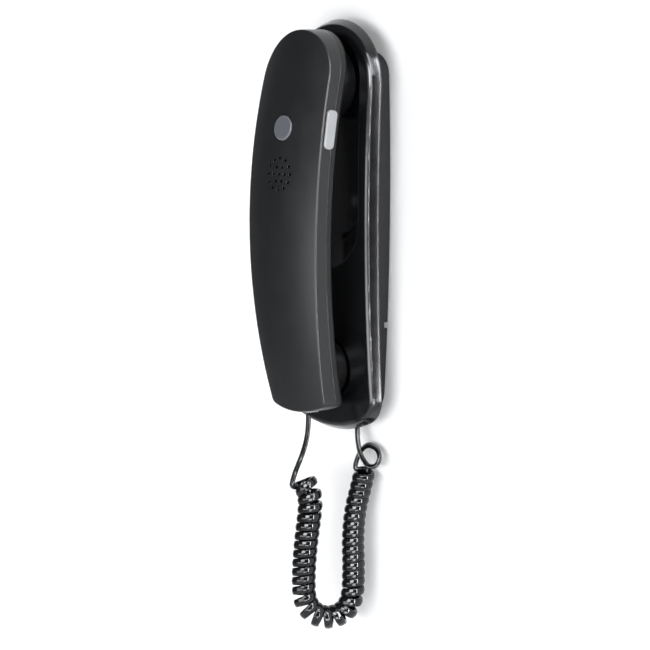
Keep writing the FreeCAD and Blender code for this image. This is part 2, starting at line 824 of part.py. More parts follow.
def handset_rear_form():
    body = new_body("rear_form")
    pad(body, handset_outline(body, "rear_form_outline", ""), PARTING_DEPTH + " + cutting_step")
    bow_cut(body, "rear_form_parting", PARTING, "back", "parting_gap", -1)
    bow_cut(body, "rear_form_back", REAR, "front")
    round_handset(body, "rear_edge_round", False)
    return body


def handset_cavity():
    body = new_body("handset_cavity")
    pad(body, handset_outline(body, "cavity_outline", "handset_wall"), "front_depth + cutting_step")
    bow_cut(body, "cavity_back", REAR, "front", "handset_wall", 1)
    barrel_cut(body, "cavity_face", FRONT, "handset_wall", -1)
    return body


EAR_ROOT = rear_at("(ear_z - ear_cup_root_radius)") + " + handset_wall"
MOUTH_ROOT = rear_at("(mouth_z + mouth_cup_root_radius)") + " + handset_wall"


def cup(name, z, depth, radius, root_radius, root):
    """A round cup that stands out of the handset's back towards the wall, down to its root."""
    body = new_body(name)
    stand(body, "0", z, depth)
    form = body.newObject("PartDesign::AdditiveCone", name + "_cone")
    bind(form, "Radius1", radius)
    bind(form, "Radius2", root_radius)
    bind(form, "Height", f"{root} - {depth}")
    round_edges(body, name + "_round", "cup_edge_round", lambda e: e.CenterOfMass.z < 0.01)
    return body


SHELL_SCREWS = [
    ("shell_screw_x", "shell_screw_z"),
    ("-shell_screw_x", "shell_screw_z"),
    ("lower_shell_screw_x", "lower_shell_screw_z"),
    ("-lower_shell_screw_x", "lower_shell_screw_z"),
]
HANDSET_BOARD_SCREWS = [
    ("handset_board_screw_x", "handset_board_screw_z"),
    ("-handset_board_screw_x", "handset_board_screw_z"),
    ("0", "lower_board_screw_z"),
]
BOARD_FRONT = BOARD_DEPTH + " + board_thickness"
PLUG_FOOT = "-(handset_bottom + plug_proud)"
BASE_PLUG_FOOT = "-(skirt_bottom + plug_proud)"


def boss_end(z):
    return parting_at(z) + " - boss_step"


def shell_screw_seat(z):
    return f"{rear_at(z)} + head_sink + screw_head_height"


def button_tilt():
    return "asin((front_button_z - bow_z) / front_bow_radius)"


def button_axis(body):
    """Puts a body's origin on the front face at the round button, with Z along the face's normal."""
    body.Placement = Placement(Vector(), FORWARD)
    bind(body, "Placement.Rotation.Angle", f"90 deg - {button_tilt()}")
    bind(body, "Placement.Base.y", "-" + front_at("front_button_z"))
    bind(body, "Placement.Base.z", "front_button_z")


def disc(body, name, low, high, radius):
    """A round step of a body, between two heights on its own Z axis."""
    step = body.newObject("PartDesign::AdditiveCylinder", name)
    bind(step, "Radius", radius)
    bind(step, "Height", f"({high}) - ({low})")
    bind(step, "Placement.Base.z", low)
    return step


BUTTON_FOOT = "handset_wall + button_flange_drop + button_flange"


def front_button():
    body = new_body("round_button")
    button_axis(body)
    disc(body, "round_button_cap", "-(" + BUTTON_FOOT + ")", "button_proud", "front_button_radius")
    disc(body, "round_button_flange", "-(" + BUTTON_FOOT + ")", "-(handset_wall + button_flange_drop)",
         "front_button_radius + button_gap + button_flange_lip")
    round_edges(body, "round_button_round", "button_round",
                lambda e: e.CenterOfMass.z > size("button_proud") - 0.01)
    return node("front_button", body)


def front_button_hole():
    body = new_body("round_button_hole")
    button_axis(body)
    disc(body, "round_button_bore", "-(" + BUTTON_FOOT + ")", "button_proud + cutting_step",
         "front_button_radius + button_gap")
    return body


SIDE_SURFACE = (
    "(handset_half_width - handset_side_radius"
    " + sqrt(handset_side_radius^2 - (side_button_z - handset_wide_z)^2))"
)
SIDE_FLANGE_TOP = f"{SIDE_SURFACE} - handset_wall - side_flange_gap"
SIDE_FLANGE_FOOT = f"{SIDE_FLANGE_TOP} - button_flange"


def side_button_axis(body):
    """Turns a body's depth direction to +X, along the handset's right side, leaning as the parting line."""
    turn_out = Rotation(Vector(0, 0, 1), 90)
    lean = math.degrees(math.asin((size("side_button_z") - size("bow_z")) / size("parting_bow_radius")))
    body.Placement = Placement(Vector(), Rotation(Vector(1, 0, 0), -lean) * turn_out)
    bind(body, "Placement.Base.y", "-(front_depth - side_button_drop)")
    bind(body, "Placement.Base.z", "side_button_z")


def pill(body, name, low, high, grow=""):
    """A long step of a body with round corners, between two distances from the middle of the handset."""
    sketch = new_sketch(body, name + "_outline", "XZ_Plane", low)
    corner = size("side_button_corner") + amount(grow)
    x = size("side_button_width") / 2 - size("side_button_corner")
    z = size("side_button_length") / 2 - size("side_button_corner")
    loop = []
    for centre, first, last in (
        ((x, z), (corner, 0), (0, corner)), ((-x, z), (0, corner), (-corner, 0)),
        ((-x, -z), (-corner, 0), (0, -corner)), ((x, -z), (0, -corner), (corner, 0)),
    ):
        ends = [(centre[0] + end[0], centre[1] + end[1]) for end in (first, last)]
        if loop:
            before = sketch.getPoint(loop[-1], END)
            loop.append(sketch.addGeometry(Part.LineSegment(before, Vector(*ends[0], 0))))
        loop.append(add_arc(sketch, centre, corner, *ends))
    loop.append(sketch.addGeometry(Part.LineSegment(sketch.getPoint(loop[-1], END),
                                                    sketch.getPoint(loop[0], START))))
    for a, b in zip(loop, loop[1:] + loop[:1]):
        relate(sketch, "Tangent", a, END, b, START)
    arcs = loop[::2]
    for arc in arcs[1:]:
        relate(sketch, "Equal", arcs[0], arc)
    relate(sketch, "Symmetric", arcs[0], CENTRE, arcs[2], CENTRE, *ORIGIN)
    round_to(sketch, arcs[0], "side_button_corner" + grow)
    across(sketch, ORIGIN, (arcs[0], CENTRE), "side_button_width / 2 - side_button_corner")
    above(sketch, ORIGIN, (arcs[0], CENTRE), "side_button_length / 2 - side_button_corner")
    across(sketch, (arcs[1], CENTRE), ORIGIN, "side_button_width / 2 - side_button_corner")
    return pad(body, sketch, f"({high}) - ({low})")


def side_button():
    body = new_body("long_button")
    side_button_axis(body)
    pill(body, "long_button_cap", SIDE_FLANGE_FOOT, f"{SIDE_SURFACE} + side_button_proud")
    pill(body, "long_button_flange", SIDE_FLANGE_FOOT, SIDE_FLANGE_TOP, " + button_gap + side_flange_lip")
    outer = size("handset_half_width")
    round_edges(body, "long_button_round", "button_round", lambda e: -e.CenterOfMass.y > outer
                and e.BoundBox.YLength < 0.01)
    return node("side_button", body)


def side_button_hole():
    body = new_body("long_button_hole")
    side_button_axis(body)
    pill(body, "long_button_bore", SIDE_FLANGE_FOOT, f"{SIDE_SURFACE} + side_button_proud + cutting_step",
         " + button_gap")
    pill(body, "long_button_pocket", f"{SIDE_FLANGE_FOOT} - side_button_travel - button_gap",
         f"{SIDE_FLANGE_TOP} + side_flange_gap", " + button_gap + side_flange_lip + button_gap")
    return body


def plug_space(name, x, depth, z, grow):
    """The space of a plug and its latch, grown by a clearance."""
    half = f"plug_thickness / 2 + {grow}"
    main = block(name + "_main", centred(x, f"plug_width + 2 * {grow}"),
                 (f"{depth} - ({half})", f"{depth} + {half}"), z)
    latch = block(name + "_latch", centred(x, f"latch_width + 2 * {grow}"),
                  (depth, f"{depth} + {half} + latch_thickness"), z)
    return fuse(name, main, latch)


def plug(name, x, depth, foot):
    main = block(name + "_body", centred(x, "plug_width"), centred(depth, "plug_thickness"),
                 (foot, f"{foot} + plug_length"))
    latch = block(name + "_latch", centred(x, "latch_width"),
                  (depth, f"{depth} + plug_thickness / 2 + latch_thickness"),
                  (f"{foot} + latch_step", f"{foot} + plug_length - latch_step"))
    return node(name, fuse(name + "_form", main, latch))


def jack(name, x, depth, near, low, foot):
    """A jack that takes a plug from below; near is the depth of its back and low its lower end."""
    width = "plug_width + 2 * (plug_gap + jack_wall)"
    housing = block(name + "_housing", centred(x, width),
                    (near, f"{depth} + plug_thickness / 2 + plug_gap + jack_wall"),
                    (low, f"{low} + jack_length"))
    space = plug_space(name + "_space", x, depth,
                       (f"{low} - cutting_step", f"{foot} + plug_length + plug_gap"), "plug_gap")
    return node(name, cut(name + "_form", housing, space))


def handset():
    cavity = handset_cavity()
    front_form, rear_form = handset_front_form(), handset_rear_form()
    button_hole, long_hole = front_button_hole(), side_button_hole()
    inner_foot = "-(handset_bottom - handset_wall)"
    jack_half = "plug_width / 2 + plug_gap + jack_wall + jack_gap"
    jack_deep = "plug_thickness / 2 + plug_gap + jack_wall + jack_gap"
    jack_pocket = block("jack_pocket", (f"-({jack_half})", jack_half),
                        (f"{HANDSET_JACK_DEPTH} - ({jack_deep})", f"{HANDSET_JACK_DEPTH} + {jack_deep}"),
                        (inner_foot, f"{inner_foot} + jack_length + 2 * jack_gap"))
    plug_way = plug_space("handset_plug_way", "0", HANDSET_JACK_DEPTH,
                          (f"{PLUG_FOOT} - cutting_step", f"{inner_foot} + cutting_step"), "plug_gap")

    front_bosses = [rod(f"front_boss_{i}", x, z, boss_end(z), "front_depth", "boss_radius")
                    for i, (x, z) in enumerate(SHELL_SCREWS)]
    front_bosses += [rod(f"board_boss_{i}", x, z, BOARD_FRONT, "front_depth", "boss_radius")
                     for i, (x, z) in enumerate(HANDSET_BOARD_SCREWS)]
    ringer_bore = "ringer_radius + shank_gap"
    ringer_front = f"{front_at('grille_z')} - handset_wall - ringer_gap"
    ringer_back = f"{ringer_front} - ringer_height"
    front_bosses.append(ring("ringer_rib", "0", "grille_z", f"{ringer_back} + seat_rib", "front_depth",
                             ringer_bore + " + seat_rib", ringer_bore))
    rib_z = centred("weight_z", "weight_height - 2 * seat_rib")
    for side in ("-", ""):
        front_bosses.append(block(f"weight_rib{side.replace('-', '_left')}",
                                  centred(side + "weight_rib_x", "weight_rib_width"),
                                  (f"{WEIGHT_DEPTH} + weight_thickness", "front_depth"), rib_z))
    front_ribs = common("front_ribs", fuse("front_bosses", *front_bosses), front_form)
    front_bores = [shank_bore(f"front_bore_{i}", x, z, boss_end(z),
                              f"{shell_screw_seat(z)} + shell_screw_length + bore_spare")
                   for i, (x, z) in enumerate(SHELL_SCREWS)]
    front_bores += [shank_bore(f"board_bore_{i}", x, z, BOARD_FRONT,
                               f"{BOARD_FRONT} + small_screw_length + bore_spare", "small")
                    for i, (x, z) in enumerate(HANDSET_BOARD_SCREWS)]
    grille = hole_rings("grille_hole", "grille_z", ringer_front, "front_depth", "grille_hole_radius",
                        "grille_ring", 2)
    front_wall = fuse("front_wall", cut("front_skin", front_form, cavity), front_ribs)
    node("handset_front_shell", cut("front_shell", front_wall, button_hole, long_hole, jack_pocket, plug_way,
                                    *front_bores, *grille))

    ear_floor, mouth_floor = "ear_cup_depth + handset_wall", "mouth_cup_depth + handset_wall"
    ear = cup("ear_cup", "ear_z", "ear_cup_depth", "ear_cup_radius", "ear_cup_root_radius", EAR_ROOT)
    mouth = cup("mouth_cup", "mouth_z", "mouth_cup_depth", "mouth_cup_radius", "mouth_cup_root_radius",
                MOUTH_ROOT)
    ear_hollow = cone("ear_hollow", "0", "ear_z", ear_floor, EAR_ROOT,
                      "ear_cup_radius - handset_wall", "ear_cup_root_radius - handset_wall")
    mouth_hollow = cone("mouth_hollow", "0", "mouth_z", mouth_floor, MOUTH_ROOT,
                        "mouth_cup_radius - handset_wall", "mouth_cup_root_radius - handset_wall")
    rear_bosses = [rod(f"rear_boss_{i}", x, z, "ear_cup_depth", boss_end(z),
                       "screw_head_radius + head_gap + boss_wall") for i, (x, z) in enumerate(SHELL_SCREWS)]
    rear_ribs = common("rear_ribs", fuse("rear_bosses", *rear_bosses), rear_form)
    ear_bore, boot_bore = "earpiece_radius + shank_gap", "microphone_radius + boot_wall + shank_gap"
    ear_rib = ring("ear_rib", "0", "ear_z", "ear_cup_depth + handset_wall / 2",
                   f"{ear_floor} + seat_rib_height", ear_bore + " + seat_rib", ear_bore)
    mouth_rib = ring("mouth_rib", "0", "mouth_z", "mouth_cup_depth + handset_wall / 2",
                     f"{mouth_floor} + seat_rib_height", boot_bore + " + seat_rib", boot_bore)
    rear_skin = cut("rear_skin", fuse("rear_blank", rear_form, ear, mouth), cavity, ear_hollow, mouth_hollow)
    rear_tools = hole_rings("ear_hole", "ear_z", "ear_cup_depth - cutting_step", ear_floor, "cup_hole_radius",
                            "ear_hole_ring", 2)
    rear_tools += hole_rings("mouth_hole", "mouth_z", "mouth_cup_depth - cutting_step", mouth_floor,
                             "cup_hole_radius", "mouth_hole_ring", 1)
    rear_tools.append(block("hook_slot", centred("0", "2 * (cradle_hook_half_width + cradle_hook_gap)"),
                            ("ear_cup_depth - cutting_step", "cradle_hook_tip + cradle_hook_gap"),
                            centred("cradle_hook_z", "cradle_hook_thickness + 2 * cradle_hook_gap")))
    for i, (x, z) in enumerate(SHELL_SCREWS):
        rear_tools.append(rod(f"rear_head_bore_{i}", x, z, "ear_cup_depth", shell_screw_seat(z),
                              "screw_head_radius + head_gap"))
        rear_tools.append(shank_bore(f"rear_bore_{i}", x, z, "ear_cup_depth", PARTING_DEPTH))
    node("handset_rear_shell", cut("rear_shell", fuse("rear_wall", rear_skin, rear_ribs, ear_rib, mouth_rib),
                                   long_hole, jack_pocket, plug_way, *rear_tools))
    node("shell_screws", group("shell_screw_set", [
        screw(f"shell_screw_{i}", x, z, shell_screw_seat(z), "shell_screw_length")
        for i, (x, z) in enumerate(SHELL_SCREWS)]))

    seal_front = f"{ear_floor} + seal_thickness"
    node("earpiece_seal", ring("earpiece_ring", "0", "ear_z", ear_floor, seal_front, "earpiece_radius",
                               "earpiece_radius - seal_width"))
    node("earpiece_capsule", rod("earpiece_body", "0", "ear_z", seal_front,
                                 f"{seal_front} + earpiece_height", "earpiece_radius"))
    boot_front = f"{mouth_floor} + boot_floor + microphone_height"
    boot = rod("boot_body", "0", "mouth_z", mouth_floor, boot_front, "microphone_radius + boot_wall")
    boot_hollow = rod("boot_hollow", "0", "mouth_z", f"{mouth_floor} + boot_floor", boot_front,
                      "microphone_radius + shank_gap")
    boot_window = rod("boot_window", "0", "mouth_z", mouth_floor, boot_front, "microphone_radius / 2")
    node("microphone_boot", cut("boot_form", boot, boot_hollow, boot_window))
    node("microphone_capsule", rod("microphone_body", "0", "mouth_z", f"{mouth_floor} + boot_floor",
                                   boot_front, "microphone_radius"))
    node("ringer_speaker", rod("ringer_body", "0", "grille_z", ringer_back, ringer_front, "ringer_radius"))
    node("handset_weight", block("weight_body", ("-weight_half_width", "weight_half_width"),
                                 (WEIGHT_DEPTH, f"{WEIGHT_DEPTH} + weight_thickness"),
                                 centred("weight_z", "weight_height")))

    board = block("handset_board_blank", ("-handset_board_half_width", "handset_board_half_width"),
                  (BOARD_DEPTH, BOARD_FRONT), ("-handset_board_bottom", "handset_board_top"))
    board_bores = [shank_bore(f"handset_board_hole_{i}", x, z, BOARD_DEPTH, BOARD_FRONT, "small")
                   for i, (x, z) in enumerate(HANDSET_BOARD_SCREWS)]
    node("handset_circuit_board", cut("handset_board_form", board, *board_bores))
    node("handset_board_screws", group("handset_board_screw_set", [
        screw(f"handset_board_screw_{i}", x, z, BOARD_DEPTH, "board_thickness + small_screw_length", "small")
        for i, (x, z) in enumerate(HANDSET_BOARD_SCREWS)]))
    nub_top = (f"{front_at('front_button_z')} - ({BUTTON_FOOT} + front_button_travel) / cos({button_tilt()})"
               f" - switch_nub_radius * tan({button_tilt()}) - switch_gap")
    switch_block = block("front_switch_body", centred("0", "switch_width"),
                         (BOARD_FRONT, f"{BOARD_FRONT} + front_switch_height"),
                         centred("front_button_z", "switch_width"))
    node("front_switch", fuse("front_switch_form", switch_block,
                              rod("front_switch_nub", "0", "front_button_z", BOARD_FRONT, nub_top,
                                  "switch_nub_radius")))
    nub_out = f"{SIDE_FLANGE_FOOT} - side_button_travel - switch_gap"
    side_block = block("side_switch_body", ("handset_board_half_width - switch_overlap",
                                            f"{nub_out} - switch_nub"),
                       (f"{BOARD_DEPTH} - side_switch_height", BOARD_DEPTH),
                       centred("side_button_z", "switch_width"))
    side_nub = block("side_switch_nub", (f"{nub_out} - 2 * switch_nub", nub_out),
                     centred(f"{BOARD_DEPTH} - side_switch_height / 2", "switch_nub_radius"),
                     centred("side_button_z", "2 * switch_nub_radius"))
    node("side_switch", fuse("side_switch_form", side_block, side_nub))
    jack_near = f"{HANDSET_JACK_DEPTH} - plug_thickness / 2 - plug_gap - jack_wall"
    jack("handset_jack", "0", HANDSET_JACK_DEPTH, jack_near, f"{inner_foot} + jack_gap", PLUG_FOOT)
    front_button()
    side_button()
    plug("handset_plug", "0", HANDSET_JACK_DEPTH, PLUG_FOOT)


HOUSING_SCREWS = [
    ("housing_screw_x", "housing_screw_z"),
    ("-housing_screw_x", "housing_screw_z"),
    ("housing_screw_x", "lower_housing_screw_z"),
    ("-housing_screw_x", "lower_housing_screw_z"),
]
BASE_BOARD_SCREWS = [
    ("base_board_screw_x", "base_board_screw_z"),
    ("-base_board_screw_x", "base_board_screw_z"),
    ("base_board_screw_x", "lower_base_board_screw_z"),
    ("-base_board_screw_x", "lower_base_board_screw_z"),
]
HOOKS = [
    ("hook_x", "hook_z"),
    ("-hook_x", "hook_z"),
    ("hook_x", "lower_hook_z"),
    ("-hook_x", "lower_hook_z"),
]
BASE_BOARD_FRONT = "base_board_depth + board_thickness"
BRACKET_WALL_FRONT = "bracket_recess + back_wall"
LOWER_WALL_FRONT = "skirt_lift + back_wall"
BOSS_SPLIT = "housing_screw_seat + back_wall"


def base_block(name, inset, tapered=True):
    """The base's outline drawn out of the wall, narrowing as it comes forward, behind its bowed face."""
    body = new_body(name)
    outline = base_outline(body, name + "_outline", inset, "rim_plane" if tapered else "skirt_lift")
    pad(body, outline, "face_depth", "-base_draft" if tapered else None)
    return body


def stadium_ramp(name, low, high):
    """A solid between two depths whose outline at each is two arcs with tangent sides between them."""
    body = new_body(name)
    sketches = [stadium(body, f"{name}_{i}", *plane) for i, plane in enumerate((low, high))]
    loft = body.newObject("PartDesign::AdditiveLoft", name + "_loft")
    loft.Profile = sketches[0]
    loft.Sections = [sketches[1]]
    loft.Ruled = True
    return body


def pair(*aliases):
    """A sum of sizes, as text and as a number."""
    return " + ".join(aliases), sum(size(alias) for alias in aliases)


def recess(name, wall=""):
    """The recess of the ear cup and the fingers, or its outer form where wall names a thickness."""
    extra = [wall] if wall else []
    share = "(recess_step_depth - recess_floor_depth) / (recess_mouth_depth - recess_floor_depth)"
    share_number = ((size("recess_step_depth") - size("recess_floor_depth"))
                    / (size("recess_mouth_depth") - size("recess_floor_depth")))
    step_z = f"recess_floor_low_z + (recess_grip_z - recess_floor_low_z) * {share}"
    step_radius = f"recess_floor_radius + (recess_grip_radius - recess_floor_radius) * {share}"
    floor_z, grip_z = size("recess_floor_low_z"), size("recess_grip_z")
    floor_radius, grip_radius = size("recess_floor_radius"), size("recess_grip_radius")
    thick = size(wall) if wall else 0.0
    grow = f" + {wall}" if wall else ""
    sink = f" - {wall}" if wall else ""
    step_low = (step_z, floor_z + (grip_z - floor_z) * share_number)
    step_low_radius = (step_radius + grow, floor_radius + (grip_radius - floor_radius) * share_number + thick)
    upper = stadium_ramp(
        name + "_upper",
        ("recess_step_depth" + sink, step_low, step_low_radius, ("ear_z", size("ear_z")),
         pair("recess_step_ear_radius", *extra)),
        ("recess_mouth_depth", pair("recess_grip_z"), pair("recess_grip_radius", *extra),
         ("ear_z", size("ear_z")), pair("recess_ear_radius", *extra)),
    )
    lower = stadium_ramp(
        name + "_lower",
        ("recess_floor_depth" + sink, pair("recess_floor_low_z"), pair("recess_floor_radius", *extra),
         pair("recess_floor_high_z"), pair("recess_floor_radius", *extra)),
        ("recess_step_depth + recess_overlap", step_low, step_low_radius,
         pair("recess_floor_high_z"), pair("recess_floor_radius", "recess_floor_slope", *extra)),
    )
    return fuse(name, upper, lower)


def base():
    form = base_block("base_form", "")
    bow_cut(form, "base_form_face", FACE, "back")
    bow_cut(form, "base_form_rim", RIM, "front")
    round_edges(form, "base_form_round", "base_edge_round",
                lambda e: not along_depth(e) and beside_bow(e, RIM, 0) > EDGE_SEARCH)
    hollow = base_block("base_hollow", "base_wall")
    bow_cut(hollow, "base_hollow_face", FACE, "back", "base_wall", -1)
    limit = base_block("base_limit", "", tapered=False)
    bow_cut(limit, "base_limit_face", FACE, "back")

    mouth_radius = "mouth_cup_radius + mouth_recess_gap"
    mouth_tub = rod("mouth_tub", "0", "mouth_z", "mouth_recess_depth - recess_wall", "face_depth",
                    mouth_radius + " + recess_wall")
    bosses = [rod(f"base_boss_{i}", x, z, BOSS_SPLIT, "face_depth", "boss_radius")
              for i, (x, z) in enumerate(HOUSING_SCREWS)]
    works_blank = fuse("base_works_blank", recess("tub", "recess_wall"), mouth_tub, *bosses)
    inner_works = common("base_works", works_blank, limit)
    catch_near = bowed("rim_depth", "rim_bow_radius", "catch_z", "rim_bow_z")
    catch = common("base_catch", form, block(
        "base_catch_blank", ("-catch_half_width", "catch_half_width"),
        (catch_near, f"{catch_near} + catch_thickness"), ("catch_z", "base_top")))
    bores = [shank_bore(f"base_bore_{i}", x, z, BOSS_SPLIT,
                        "housing_screw_seat + housing_screw_length + bore_spare")
             for i, (x, z) in enumerate(HOUSING_SCREWS)]
    plunger_hole = rod("plunger_hole", "0", "plunger_z", "mouth_recess_depth - recess_wall",
                       "mouth_recess_depth", "plunger_radius + plunger_hole_gap")
    peg_hole = rod("peg_hole", "0", "cradle_peg_z", "recess_step_depth - recess_wall", "recess_step_depth",
                   "cradle_peg_radius + shank_gap")
    mouth_recess = rod("mouth_recess", "0", "mouth_z", "mouth_recess_depth", "face_depth", mouth_radius)
    shell = fuse("base_shell", cut("base_skin", form, hollow), inner_works, catch)
    node("base_housing", cut("base_housing_form", shell, recess("recess"), mouth_recess, plunger_hole,
                             peg_hole, *bores))

    plate = block("cradle_plate", ("-cradle_hook_half_width", "cradle_hook_half_width"),
                  ("recess_step_depth", "recess_step_depth + cradle_plate_thickness"),
                  ("cradle_plate_bottom", "cradle_hook_z + cradle_hook_thickness / 2"))
    tongue = block("cradle_tongue", ("-cradle_hook_half_width", "cradle_hook_half_width"),
                   ("recess_step_depth", "cradle_hook_tip"),
                   centred("cradle_hook_z", "cradle_hook_thickness"))
    peg = rod("cradle_peg", "0", "cradle_peg_z", "recess_step_depth - recess_wall - seat_rib",
              "recess_step_depth + cradle_plate_thickness", "cradle_peg_radius")
    node("cradle_hook", fuse("cradle_hook_form", plate, tongue, peg))


def back_housing():
    skirt = new_body("skirt")
    pad(skirt, skirt_outline(skirt, "skirt_outline", "", "skirt_lift"), "face_depth")
    bow_cut(skirt, "skirt_front", RIM, "back", "brim_thickness", 1)
    hollow = new_body("skirt_hollow")
    pad(hollow, skirt_outline(hollow, "skirt_hollow_outline", "skirt_wall"), "face_depth")
    brim = base_block("brim", "base_wall + fit_gap")
    bow_cut(brim, "brim_front", RIM, "back", "brim_thickness", 1)
    bow_cut(brim, "brim_back", RIM, "front")

    wide = ("-base_half_width", "base_half_width")
    upper_wall = block("bracket_wall", wide, ("bracket_recess", BRACKET_WALL_FRONT),
                       ("-bracket_recess_bottom - back_wall", "base_top"))
    lower_wall = block("lower_wall", wide, ("skirt_lift", LOWER_WALL_FRONT),
                       ("-base_bottom", "-bracket_recess_bottom"))
    step_wall = block("step_wall", wide, ("skirt_lift", BRACKET_WALL_FRONT),
                      ("-bracket_recess_bottom - back_wall", "-bracket_recess_bottom"))
    boss_feet = ["bracket_recess"] * 2 + ["skirt_lift"] * 2
    bosses = [rod(f"back_boss_{i}", x, z, near, BOSS_SPLIT, "screw_head_radius + head_gap + boss_wall")
              for i, ((x, z), near) in enumerate(zip(HOUSING_SCREWS, boss_feet))]
    posts = [rod(f"board_post_{i}", x, z, "skirt_lift", "base_board_depth", "small_head_radius")
             for i, (x, z) in enumerate(BASE_BOARD_SCREWS)]
    void = cut("back_void", hollow, upper_wall, lower_wall, step_wall, *bosses, *posts)

    catch_near = bowed("rim_depth", "rim_bow_radius", "catch_z", "rim_bow_z")
    relief_top = f"{catch_near} + catch_thickness + fit_gap"
    catch_relief = block("catch_relief", ("-(catch_half_width + fit_gap)", "catch_half_width + fit_gap"),
                         ("skirt_lift", relief_top), ("catch_z - fit_gap", "base_top"))
    tongue_half = "catch_half_width + fit_gap + brim_thickness"
    tongue = common("brim_tongue", base_block("tongue_limit", "base_wall + fit_gap"), block(
        "brim_tongue_blank", (f"-({tongue_half})", tongue_half),
        (relief_top, f"{relief_top} + brim_thickness"), ("catch_z - fit_gap", "base_top")))
    tub_relief = rod("tub_relief", "0", "ear_z", "recess_step_depth - recess_wall - fit_gap", "face_depth",
                     "recess_step_ear_radius + recess_wall + tub_gap")
    plug_way = plug_space("base_plug_way", "base_jack_x", "base_jack_depth",
                          (f"{BASE_PLUG_FOOT} - cutting_step", "-(skirt_bottom - skirt_wall) + fit_gap"),
                          "fit_gap")
    notch = block("side_notch", ("side_notch_x", "base_half_width"), ("0", "side_notch_depth"),
                  centred("side_notch_z", "side_notch_height"))
    cable_hole = block("cable_hole", centred("0", "cable_hole_width"), ("0", BRACKET_WALL_FRONT),
                       centred("0", "cable_hole_height"))
    jack_front = "base_jack_depth + plug_thickness / 2 + plug_gap + jack_wall + jack_gap"
    jack_foot = "-(skirt_bottom - skirt_wall)"
    jack_pocket = block("base_jack_pocket",
                        centred("base_jack_x", "plug_width + 2 * (plug_gap + jack_wall + jack_gap)"),
                        (LOWER_WALL_FRONT, jack_front), (jack_foot, f"{jack_foot} + jack_length"))
    tools = [catch_relief, tub_relief, plug_way, jack_pocket, notch, cable_hole]
    for i, (x, z) in enumerate(HOUSING_SCREWS):
        tools.append(rod(f"back_head_bore_{i}", x, z, "0", "housing_screw_seat",
                         "screw_head_radius + head_gap"))
        tools.append(shank_bore(f"back_bore_{i}", x, z, "0", BOSS_SPLIT))
    for i, (x, z) in enumerate(BASE_BOARD_SCREWS):
        tools.append(shank_bore(f"post_bore_{i}", x, z,
                                f"{BASE_BOARD_FRONT} - small_screw_length - bore_spare",
                                "base_board_depth", "small"))
    for i, (x, z) in enumerate(HOOKS):
        tools.append(block(f"hook_slot_{i}", centred(x, "hook_width + 2 * fit_gap"),
                           ("bracket_recess", BRACKET_WALL_FRONT),
                           (f"{z} - hook_lip - fit_gap", f"{z} + hook_stem")))
    skin = cut("back_skin", fuse("back_blank", skirt, brim), void, catch_relief)
    node("back_housing", cut("back_housing_form", fuse("back_shell", skin, tongue), *tools))
    node("housing_screws", group("housing_screw_set", [
        screw(f"housing_screw_{i}", x, z, "housing_screw_seat", "housing_screw_length")
        for i, (x, z) in enumerate(HOUSING_SCREWS)]))


def wall_bracket():
    plate = block("bracket_plate", ("-bracket_half_width", "bracket_half_width"), ("0", "bracket_thickness"),
                  ("-bracket_bottom", "bracket_top"))
    holes = [rod(f"wall_screw_hole_{i}", "0", f"{side}wall_screw_spacing / 2", "0", "bracket_thickness",
                 "wall_screw_hole_radius") for i, side in enumerate(("", "-"))]
    holes.append(block("bracket_cable_hole", centred("0", "cable_hole_width"), ("0", "bracket_thickness"),
                       centred("0", "cable_hole_height")))
    lip_near = f"{BRACKET_WALL_FRONT} + fit_gap"
    hooks = []
    for i, (x, z) in enumerate(HOOKS):
        hooks.append(block(f"hook_stem_{i}", centred(x, "hook_width"),
                           ("0", f"{lip_near} + hook_lip_thickness"), (z, f"{z} + hook_stem")))
        hooks.append(block(f"hook_lip_{i}", centred(x, "hook_width"),
                           (lip_near, f"{lip_near} + hook_lip_thickness"),
                           (f"{z} + hook_stem", f"{z} + hook_stem + hook_lip")))
    node("wall_bracket", fuse("bracket_form", cut("bracket_flat", plate, *holes), *hooks))


